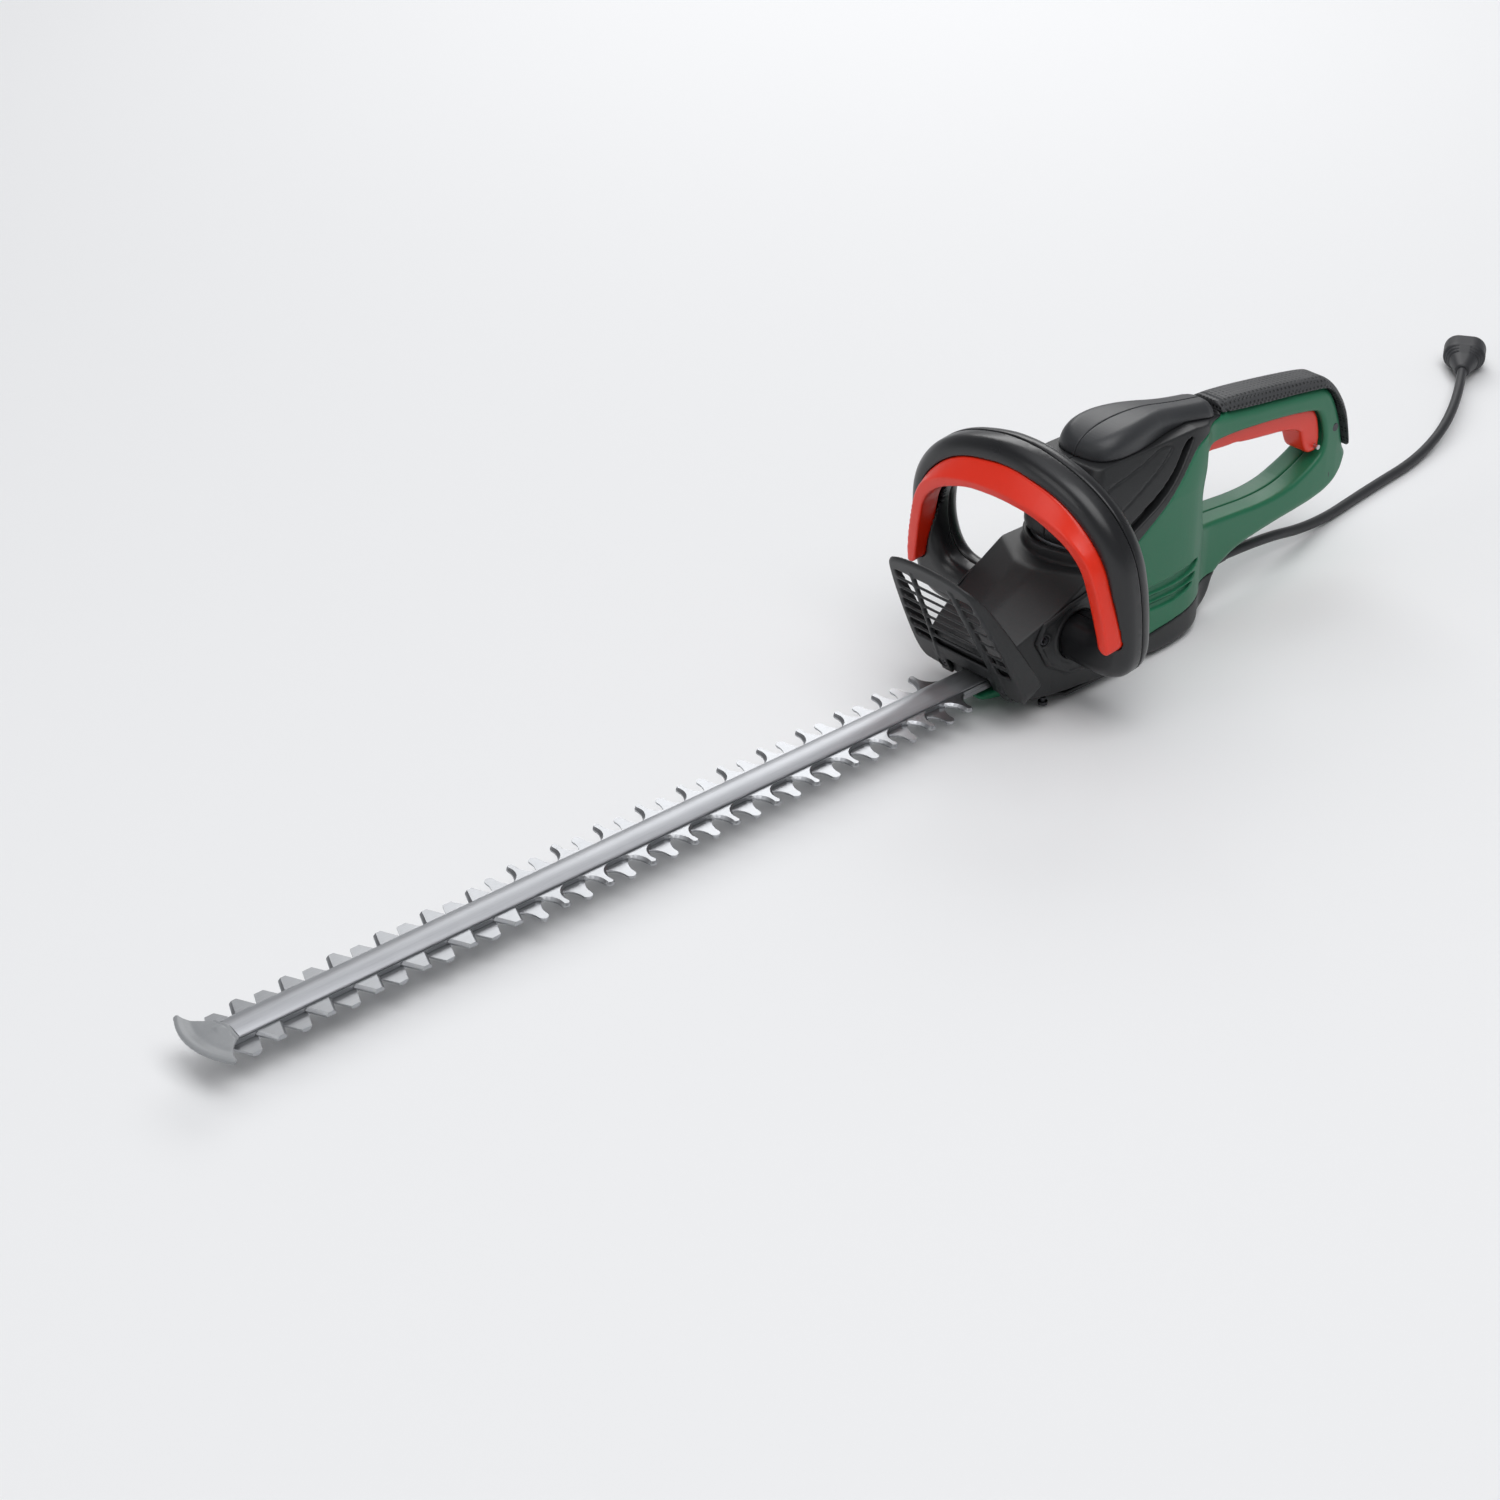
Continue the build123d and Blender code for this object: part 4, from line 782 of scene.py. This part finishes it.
def guard_piece():
    """The hand guard: a plate with side wings, rows of slots behind two upright ribs, and two feet."""
    step, low = 1.0, (-59, -13.0, -4.0)
    s, v, w = grid(low, (59, 124, 30), step)
    along, up = in_row_frame(GUARD_PLACE, v, w)
    area = area_under(s, v, GUARD_HALF, 2)
    shell = cut(meet(area, -w, 3), meet(area + 2.6, 2.6 - w, 1.5))
    side = outline(along, up, soften(WING, 2))
    shell = meet(meet(shell, np.minimum(side, w - 3.2), 0.8), w - 27, 0.8)
    foot = np.maximum(np.abs(np.abs(s) - GUARD_SCREW_S) - 5.5, np.maximum(-11 - v, v - 12))
    plate = join(shell, meet(foot, np.maximum(-w, w - 3), 0.8), 1.0)
    plate = cut(plate, np.maximum(np.abs(s) - 24.5, v - 6), 0.8)
    for n in range(SLOT_ROWS):
        row = TOP_SLOT_V - SLOT_PITCH * n
        rib, reach = rib_place(row), min(38.2 + (TOP_SLOT_V - row) * 0.2, 48)
        wide = 2.2 + n * 0.3
        for start, end in ((-rib + wide, rib - 1.6), (rib + 1.6, reach), (-reach, -rib - 2)):
            over_s = np.maximum(np.abs(s - (start + end) / 2) - (end - start) / 2 + 2.4, 0)
            over_v = np.maximum(np.abs(v - row) - 2.2, 0)
            plate = cut(plate, np.hypot(over_s, over_v) - 2.4, 0.4)
    bars = meet(np.abs(s) - 40, np.maximum(20 - v, v - 102), 1)
    plate = cut(plate, meet(bars, 1.9 - w), 0.3)
    for sign, wide, growth in ((-1, 2.4, 0.024), (1, 1.4, 0.0)):
        taper = wide + (104 - v) * growth
        rib = meet(np.abs(s - sign * rib_place(v)) - taper, np.maximum(w - 3.0, -0.8 - w), 0.8)
        plate = join(plate, meet(rib, np.maximum(v - 107, 6 - v), 0.8), 0.6)
    for sign in (-1, 1):
        plate = cut(plate, np.maximum(np.hypot(s - GUARD_SCREW_S * sign, v - GUARD_SCREW_V) - 4.2, w - 1.6), 0.3)
    skin("hand_guard", plate, low, step, "black_plastic", "trimmer", ["hand_guard"], 0.5, GUARD_PLACE)


def guard_screw_heads():
    """Two sunk heads with a cross, one on each side at the foot of the guard."""
    step, low = 0.4, (-35, -6.0, -0.5)
    s, v, w = grid(low, (-25, 4, 3), step)
    across, along = s + GUARD_SCREW_S, v - GUARD_SCREW_V
    head = meet(np.hypot(across, along) - 3.8, np.maximum(0.5 - w, w - 2), 0.5)
    head = cut(head, np.maximum(cross_slot(across, along, 2.4), w - 1.4))
    left = skin("guard_screw_head_left", head, low, step, "bolt_steel", "trimmer", ["guard_screws"], 0.5, GUARD_PLACE)
    other_half(left, "guard_screw_head_right", "bolt_steel", "trimmer", [])


# ---------------------------------------------------------------- gear housing and its covers
HOUSING_SIDE = [(145.9, 16), (232, 8), (262, 8), (262, 112), (206, 112), (203, 106.5), (122.4, 64)]
COVER_PLATE = [(152.5, 72), (203, 90), (234, 88), (234, 21), (176, 29)]
SIDE_SCREW_X, SIDE_SCREW_Z = 166, 63
COVER_SCREWS = ((178, 35), (178, -35), (252, 35), (252, -35))


def housing_piece():
    """The black gear housing with its faceted spine, the motor's collar, and room inside for the gears."""
    step, low = 1.0, (118, -47.0, 4.0)
    x, y, z = grid(low, (264, 47, 113), step)
    form = meet(outline(x, z, HOUSING_SIDE), outline(x, y, mirrored(HOUSING_PLAN)), 1.6)
    slope = -0.458 * (x - 205) + 0.287 * (np.abs(y) - 12) + 0.841 * (z - 107)
    form = meet(form, slope, 0.9)
    collar = meet(np.hypot(x - MOTOR_X, y) - 43.5, np.maximum(96 - z, z - 109.8), 1.2)
    collar = np.maximum(collar, x - 261.8)
    form = np.maximum(join(meet(form, z - 100, 1.5), collar, 2.0), x - 261.8)
    room = np.maximum(np.maximum(171 - x, np.abs(y) - 39), z - 50)
    room = np.minimum(room, np.maximum(np.hypot(x - MOTOR_X, y) - 39.5, 40 - z))
    form = cut(form, room)
    tunnel = np.maximum(np.maximum(np.abs(y) - 13, z - 30.2), x - 171.5)
    form = cut(form, tunnel, 0.5)
    guard_front = 138.5 - (z - 25.5) * 0.51
    form = cut(form, x - guard_front - 3.7, 0.5)
    skin("gear_housing", form, low, step, "black_plastic", "trimmer", ["gear_housing"], 0.4)


def side_cover_pieces():
    """The plates round the front handle's arms, each with a raised border, a collar and a sunk screw."""
    step, low = 0.8, (148, 33.0, 18.0)
    x, y, z = grid(low, (236, 49, 93), step)
    inner = outline(x, y, mirrored(HOUSING_PLAN))
    plate_line = outline(x, z, soften(COVER_PLATE, 1))
    from_arm = np.hypot(x - BAIL_ARM_X, z - BAIL_ARM_Z)
    across, along = x - SIDE_SCREW_X, z - SIDE_SCREW_Z
    from_screw = np.hypot(across, along)
    plate = meet(meet(plate_line, inner - 1.9, 0.8), -inner)
    border = meet(np.abs(plate_line + 2.2) - 1.1, inner - 2.7, 0.7)
    plate = join(plate, meet(border, -inner), 0.5)
    plate = cut(plate, from_arm - 20.5, 0.5)
    collar = meet(np.abs(from_arm - 21.2) - 1.6, inner - 2.6, 0.8)
    plate = join(plate, meet(collar, -inner), 0.6)
    plate = np.maximum(plate, 18.8 - from_arm)
    plate = join(plate, meet(meet(from_screw - 5.6, inner - 2.9, 0.8), -inner), 1)
    plate = cut(plate, np.maximum(from_screw - 4.0, 1.2 - inner), 0.3)
    cover = skin("side_cover_right", plate, low, step, "black_plastic", "trimmer", ["side_cover_right"], 0.4)
    other_half(cover, "side_cover_left", "black_plastic", "trimmer", ["side_cover_left"])
    head = meet(from_screw - 3.7, np.maximum(inner - 2.4, -inner), 0.6)
    head = cut(head, np.maximum(cross_slot(across, along, 2.5), 1.0 - inner))
    screw = skin("side_screw_head_right", head, low, step, "bolt_steel", "trimmer", [], 0.5)
    other_half(screw, "side_screw_head_left", "bolt_steel", "trimmer", [])


def gear_cover_pieces():
    """The black plate under the gears, and the green keel that runs forward under the blades."""
    step, low = 0.9, (130, -46.0, -1.5)
    x, y, z = grid(low, (264, 46, 23), step)
    plan = outline(x, y, soften([(173, 42), (262, 42), (262, -42), (173, -42)], 1))
    plate = meet(plan, np.maximum(4.5 - z, z - 7.7), 1.2)
    keel_line = soften([(133, 12.4), (133, 17), (168, 14), (200, 8.5), (262, 8.5), (262, 0), (196, 0), (150, 7.5)], 1)
    keel = meet(outline(x, z, keel_line), np.abs(y) - 14, 3)
    shaft_room = np.maximum(np.hypot(x - GEAR_X, y) - 18, 7.9 - z)
    keel, plate = cut(keel, shaft_room), cut(plate, np.maximum(shaft_room, np.abs(y) - 14 - SEAM))
    for screw_x, screw_y in COVER_SCREWS:
        plate = cut(plate, np.hypot(x - screw_x, y - screw_y) - 2.0, 0.3)
    plate = cut(plate, np.abs(y) - 14 - SEAM)
    skin("gear_cover_plate", plate, low, step, "black_plastic", "trimmer", ["gear_cover"], 0.4)
    skin("gear_cover_keel", keel, low, step, "green_plastic", "trimmer", [], 0.4)


# ---------------------------------------------------------------- blades, rail, bolts and tip protector
TOOTH_PITCH, TEETH, FINGER_TEETH = 38, 17, 11  # on each side; the rest are short saw teeth
BLADE_TIP_X, BLADE_T, BACK_HALF = -531, 3, 12
YOKE_FRONT_X, YOKE_REAR_X, YOKE_R = 203, 222, 21.2
BOLTS_X = (-514, -460, -350, -240, -130, -20, 75, 148)


def slot_line(x, length, width, arc=10):
    """A long hole's outline, lengthwise on x."""
    r, half = width / 2, (length - width) / 2
    right = [(x + half + r * math.sin(t), r * math.cos(t)) for t in np.linspace(0, math.pi, arc)]
    return right + [(x - half - r * math.sin(t), -r * math.cos(t)) for t in np.linspace(0, math.pi, arc)]


def arc_through(a, b, c, count=7):
    """Points on the round arc from a over b to c."""
    (ax, ay), (bx, by), (cx, cy) = a, b, c
    d = 2 * (ax * (by - cy) + bx * (cy - ay) + cx * (ay - by))
    ux = ((ax**2 + ay**2) * (by - cy) + (bx**2 + by**2) * (cy - ay) + (cx**2 + cy**2) * (ay - by)) / d
    uy = ((ax**2 + ay**2) * (cx - bx) + (bx**2 + by**2) * (ax - cx) + (cx**2 + cy**2) * (bx - ax)) / d
    first, middle, last = (math.atan2(y - uy, x - ux) for x, y in (a, b, c))
    turn = (last - first) % (2 * math.pi)
    if (middle - first) % (2 * math.pi) > turn:
        turn -= 2 * math.pi
    r = math.hypot(ax - ux, ay - uy)
    return [(ux + r * math.cos(first + turn * t), uy + r * math.sin(first + turn * t)) for t in np.linspace(0, 1, count)]


def tooth_edge(x, finger, inset):
    """One tooth on the +Y side, from its front root to its rear root, its flanks drawn in by inset."""
    if finger:
        flank = arc_through((x - 13 + 0.4 * inset, BACK_HALF), (x - 6.4 + inset, 17.8), (x - 3.6 + 0.7 * inset, 28.2))
        reach = 31.8 - 0.25 * inset
        tip = arc_through((x - 3.6 + 0.7 * inset, 28.2), (x, reach), (x + 3.6 - 0.7 * inset, 28.2), 9)
        return flank + tip[1:-1] + [(2 * x - px, py) for px, py in reversed(flank)]
    half = [(x - 10.5 + inset, BACK_HALF), (x - 3.6 + 0.7 * inset, 26.1 - 0.1 * inset)]
    return half + [(2 * x - px, py) for px, py in reversed(half)]


def blade_line(last_x, inset):
    """The whole blade's outline: its teeth on both sides and the round yoke at its rear."""
    edge = [(BLADE_TIP_X, BACK_HALF)]
    for n in reversed(range(TEETH)):
        edge += tooth_edge(last_x - TOOTH_PITCH * n, n < FINGER_TEETH, inset)
    for t in np.linspace(0.602, math.pi / 2, 8):
        edge.append((YOKE_FRONT_X - YOKE_R * math.cos(t), YOKE_R * math.sin(t)))
    for t in np.linspace(0, math.pi / 2, 10):
        edge.append((YOKE_REAR_X + YOKE_R * math.sin(t), YOKE_R * math.cos(t)))
    return edge + [(px, -py) for px, py in reversed(edge[:-1])]


def blade_piece(name, last_x, z, body, nodes, bevel_up):
    """A toothed bar with ground flanks on its outer face, its yoke and its long holes."""
    full, drawn_in = blade_line(last_x, 0), blade_line(last_x, 2.4)
    if bevel_up:
        levels = [(full, 0), (full, 1.3), (drawn_in, BLADE_T)]
    else:
        levels = [(drawn_in, 0), (full, 1.7), (full, BLADE_T)]
    holes = [slot_line(x, 26.4, 6.4) for x in BOLTS_X]
    holes.append(slot_line(GEAR_X, 47.4, 28.4, 16))
    mesh = bmesh.new()

    def ring(line, height):
        return [mesh.verts.new((px * MM, py * MM, (z + height) * MM)) for px, py in line]

    walls = [[ring(line, height) for line, height in levels]]
    walls += [[ring(hole, 0), ring(hole, BLADE_T)] for hole in holes]
    for wall in walls:
        for low, high in zip(wall, wall[1:]):
            for k in range(len(low)):
                n = (k + 1) % len(low)
                mesh.faces.new((low[k], low[n], high[n], high[k])).material_index = 1
    for place in (0, -1):
        edges = []
        for wall in walls:
            loop = wall[place]
            edges += [mesh.edges.get(pair) for pair in zip(loop, loop[1:] + loop[:1])]
        made = bmesh.ops.triangle_fill(mesh, edges=edges, use_beauty=True)["geom"]
        for face in made:
            if isinstance(face, bmesh.types.BMFace):
                face.material_index = 0
    blade = from_bmesh(name, mesh)
    dress(blade, "blade_steel", body, nodes)
    # the side and bevel faces take the darker steel, which paints in the shade they reflect
    blade.data.materials.append(MATERIALS["blade_edge_shaded"])


def rail_piece():
    """The guide rail: a flat-bottomed bar with a low crown, its ends slightly eased."""
    profile = [(-11, 25.2), (-11, 26.2)] + arc_through((-10.6, 26.7), (0, 29.5), (10.6, 26.7), 15)
    profile += [(11, 26.2), (11, 25.2)]
    mesh = bmesh.new()
    rows = []
    for x, inset in ((-525, 0.5), (-524.5, 0), (177.5, 0), (178, 0.5)):
        eased = [(y * (1 - inset / 11), z - inset * (z > 26)) for y, z in profile]
        rows.append([mesh.verts.new((x * MM, y * MM, z * MM)) for y, z in eased])
    for a, b in zip(rows, rows[1:]):
        for k in range(len(profile)):
            n = (k + 1) % len(profile)
            mesh.faces.new((a[k], a[n], b[n], b[k]))
    mesh.faces.new(list(reversed(rows[0])))
    mesh.faces.new(rows[-1])
    rail = from_bmesh("guide_rail_bar", mesh, 0.5, 35)
    dress(rail, "rail_aluminium", "trimmer", ["guide_rail"])


def tip_piece():
    """The cast tip protector: a bowed plate with a saddle, a collar at the rail and a tongue under it."""
    step, low = 0.7, (-556, -35.0, 24.0)
    x, y, z = grid(low, (-506, 35, 31), step)
    side = [(-525.4, 12.5)] + arc_through((-525.4, 12.5), (-534, 18.5), (-541, 31.5))
    side += arc_through((-541, 31.5), (-543.6, 32.6), (-545.2, 30.4))
    front = arc_through((-545.2, 30.4), (-554, 0), (-545.2, -30.4), 13)
    line = side + front + [(px, -py) for px, py in reversed(side)]
    plan = outline(x, y, line)
    saddle = np.exp(-((y / 8.5) ** 2)) * np.clip((x + 549) / 18, 0, 1)
    from_centre = np.hypot(x + 498, y)
    rim, groove = np.exp(-(((from_centre - 54) / 2.2) ** 2)), np.exp(-(((from_centre - 46) / 2.5) ** 2))
    top = 27.6 + 2.6 * saddle + 1.0 * rim - 0.5 * groove
    form = meet(plan, np.maximum(25.2 - z, z - top), 0.8)
    collar = meet(np.hypot(y, z - 23.4) - 7.0, -534 - x, 1.0)
    form = join(form, np.maximum(collar, np.maximum(x + 525.4, 25.2 - z)), 1.5)
    form = recess(form, np.abs(x + 528) - 0.5, 0.6)
    tongue = meet(np.maximum(np.abs(x + 517) - 9, np.abs(y) - 6), np.maximum(25.2 - z, z - 27.2), 0.3)
    form = cut(join(form, tongue, 0.3), np.hypot(x - BOLTS_X[0], y) - 2.8)
    skin("tip_protector", form, low, step, "cast_tip", "trimmer", ["tip_protector"], 0.5)


# ---------------------------------------------------------------- supply cord and plug
CORD_ROUTE = [(376, 0, 28), (456, 0, 28), (546, 12, 4.3), (632, 24, 4.3), (718, 33, 4.3), (800, 62, 13), (862, 104, 13)]


def strain_relief_piece():
    """A soft sleeve that tapers along the cord, with three grooves round it."""
    profile = [
        (372, 4.3), (372, 6.4), (398.6, 5.9), (399.2, 5.0), (400.8, 5.0), (401.4, 5.85),
        (403.8, 5.8), (404.4, 4.9), (405.8, 4.9), (406.4, 5.7), (408.8, 5.6), (409.4, 4.8), (410.8, 4.8),
        (411.4, 5.5), (418, 5.2), (419, 4.7), (419, 4.3),
    ]
    turns = np.linspace(0, 2 * math.pi, 40, endpoint=False)
    mesh = bmesh.new()
    rings = []
    for x, r in profile:
        rings.append([
            mesh.verts.new((x * MM, r * math.cos(t) * MM, (CORD_Z + r * math.sin(t)) * MM)) for t in turns
        ])
    rings.append(rings[0])
    for a, b in zip(rings, rings[1:]):
        for k in range(len(turns)):
            n = (k + 1) % len(turns)
            mesh.faces.new((a[k], b[k], b[n], a[n]))
    sleeve = from_bmesh("strain_relief_sleeve", mesh, 2, 32)
    dress(sleeve, "cord_rubber", "trimmer", ["strain_relief"])


def plug_piece():
    """The moulded plug on the cord's end, wider towards its pins, with three grooves across each flat side."""
    step, low = 0.9, (-20, -14.0, -1.0)
    across, up, along = grid(low, (20, 14, 54), step)
    half_across = np.interp(along, [0, 20, 32, 52], [6, 12, 18.5, 18.5])
    half_up = np.interp(along, [0, 20, 32, 52], [6, 9, 12.5, 12.5])
    over = np.maximum(np.abs(across) - (half_across - half_up), 0)
    round_body = (np.hypot(over / half_up, up / half_up) - 1) * half_up
    form = meet(round_body, np.maximum(0.5 - along, along - 51.8), 1.5)
    for groove in (22, 25.5, 29):
        form = recess(form, meet(np.abs(along - groove) - 0.7, 5 - np.abs(across)), 0.9)
    end = Vector(CORD_ROUTE[-1])
    way = (end - Vector(CORD_ROUTE[-2])).normalized()
    side = Vector((way.y, -way.x, 0))
    top = way.cross(side)
    place = Matrix((
        (side.x, top.x, way.x, end.x), (side.y, top.y, way.y, end.y), (side.z, top.z, way.z, end.z), (0, 0, 0, 1),
    ))
    return skin("plug_body", form, low, step, "cord_rubber", "trimmer", ["plug"], 0.5, place)


def cord_piece(plug):
    """The cord: straight out of its sleeve, down to the ground, and along it to the plug."""
    curve = bpy.data.curves.new("supply_cord", "CURVE")
    curve.dimensions, curve.bevel_depth, curve.bevel_resolution = "3D", CORD_R * MM, 8
    curve.resolution_u, curve.use_fill_caps = 24, True
    line = curve.splines.new("NURBS")
    line.points.add(len(CORD_ROUTE) - 1)
    for point, place in zip(line.points, CORD_ROUTE):
        point.co = (place[0] * MM, place[1] * MM, place[2] * MM, 1)
    line.order_u, line.use_endpoint_u = 3, True
    supply = bpy.data.objects.new("supply_cord", curve)
    bpy.context.collection.objects.link(supply)
    dress(supply, "cord_rubber", "trimmer", ["cord"])


# ---------------------------------------------------------------- parts that keep their plain shape
PLAIN_PARTS = {
    "bolt_steel": [
        "blade_bolts", "rail_screw", "tip_screw", "cover_screws", "side_screws", "housing_screws",
        "bail_screws",
    ],
    "gear_steel": [
        "drive_gear", "lower_crank", "gear_shaft", "pinion", "motor_shaft", "motor_bearings", "trigger_pin",
        "trigger_spring",
    ],
    "lamination_steel": ["armature_core", "stator_core"],
    "copper_wire": ["armature_windings", "commutator", "field_coils"],
    "bush_bronze": ["gear_bush", "brush_holders"],
    "bracket_aluminium": ["bearing_bracket"],
    "dark_plastic": ["cooling_fan", "switch_box"],
    "carbon": ["carbon_brushes"],
    "pin_brass": ["plug_pins"],
}


def paint_plain_parts():
    """Materials for the parts inside, and for the screws."""
    for slot, nodes in PLAIN_PARTS.items():
        for node in nodes:
            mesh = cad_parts[node].data
            mesh.materials.clear()
            mesh.materials.append(MATERIALS[slot])


set_camera()
set_studio()
body_pieces()
bottom_piece()
cap_pieces()
grip_piece()
trigger_piece()
bail_pieces()
guard_piece()
guard_screw_heads()
housing_piece()
side_cover_pieces()
gear_cover_pieces()
blade_piece("upper_blade_bar_steel", 105, 22.0, "upper_blade_bar", ["upper_blade"], True)
blade_piece("lower_blade_bar_steel", 86, 18.8, "lower_blade_bar", ["lower_blade"], False)
rail_piece()
tip_piece()
strain_relief_piece()
cord_piece(plug_piece())
paint_plain_parts()
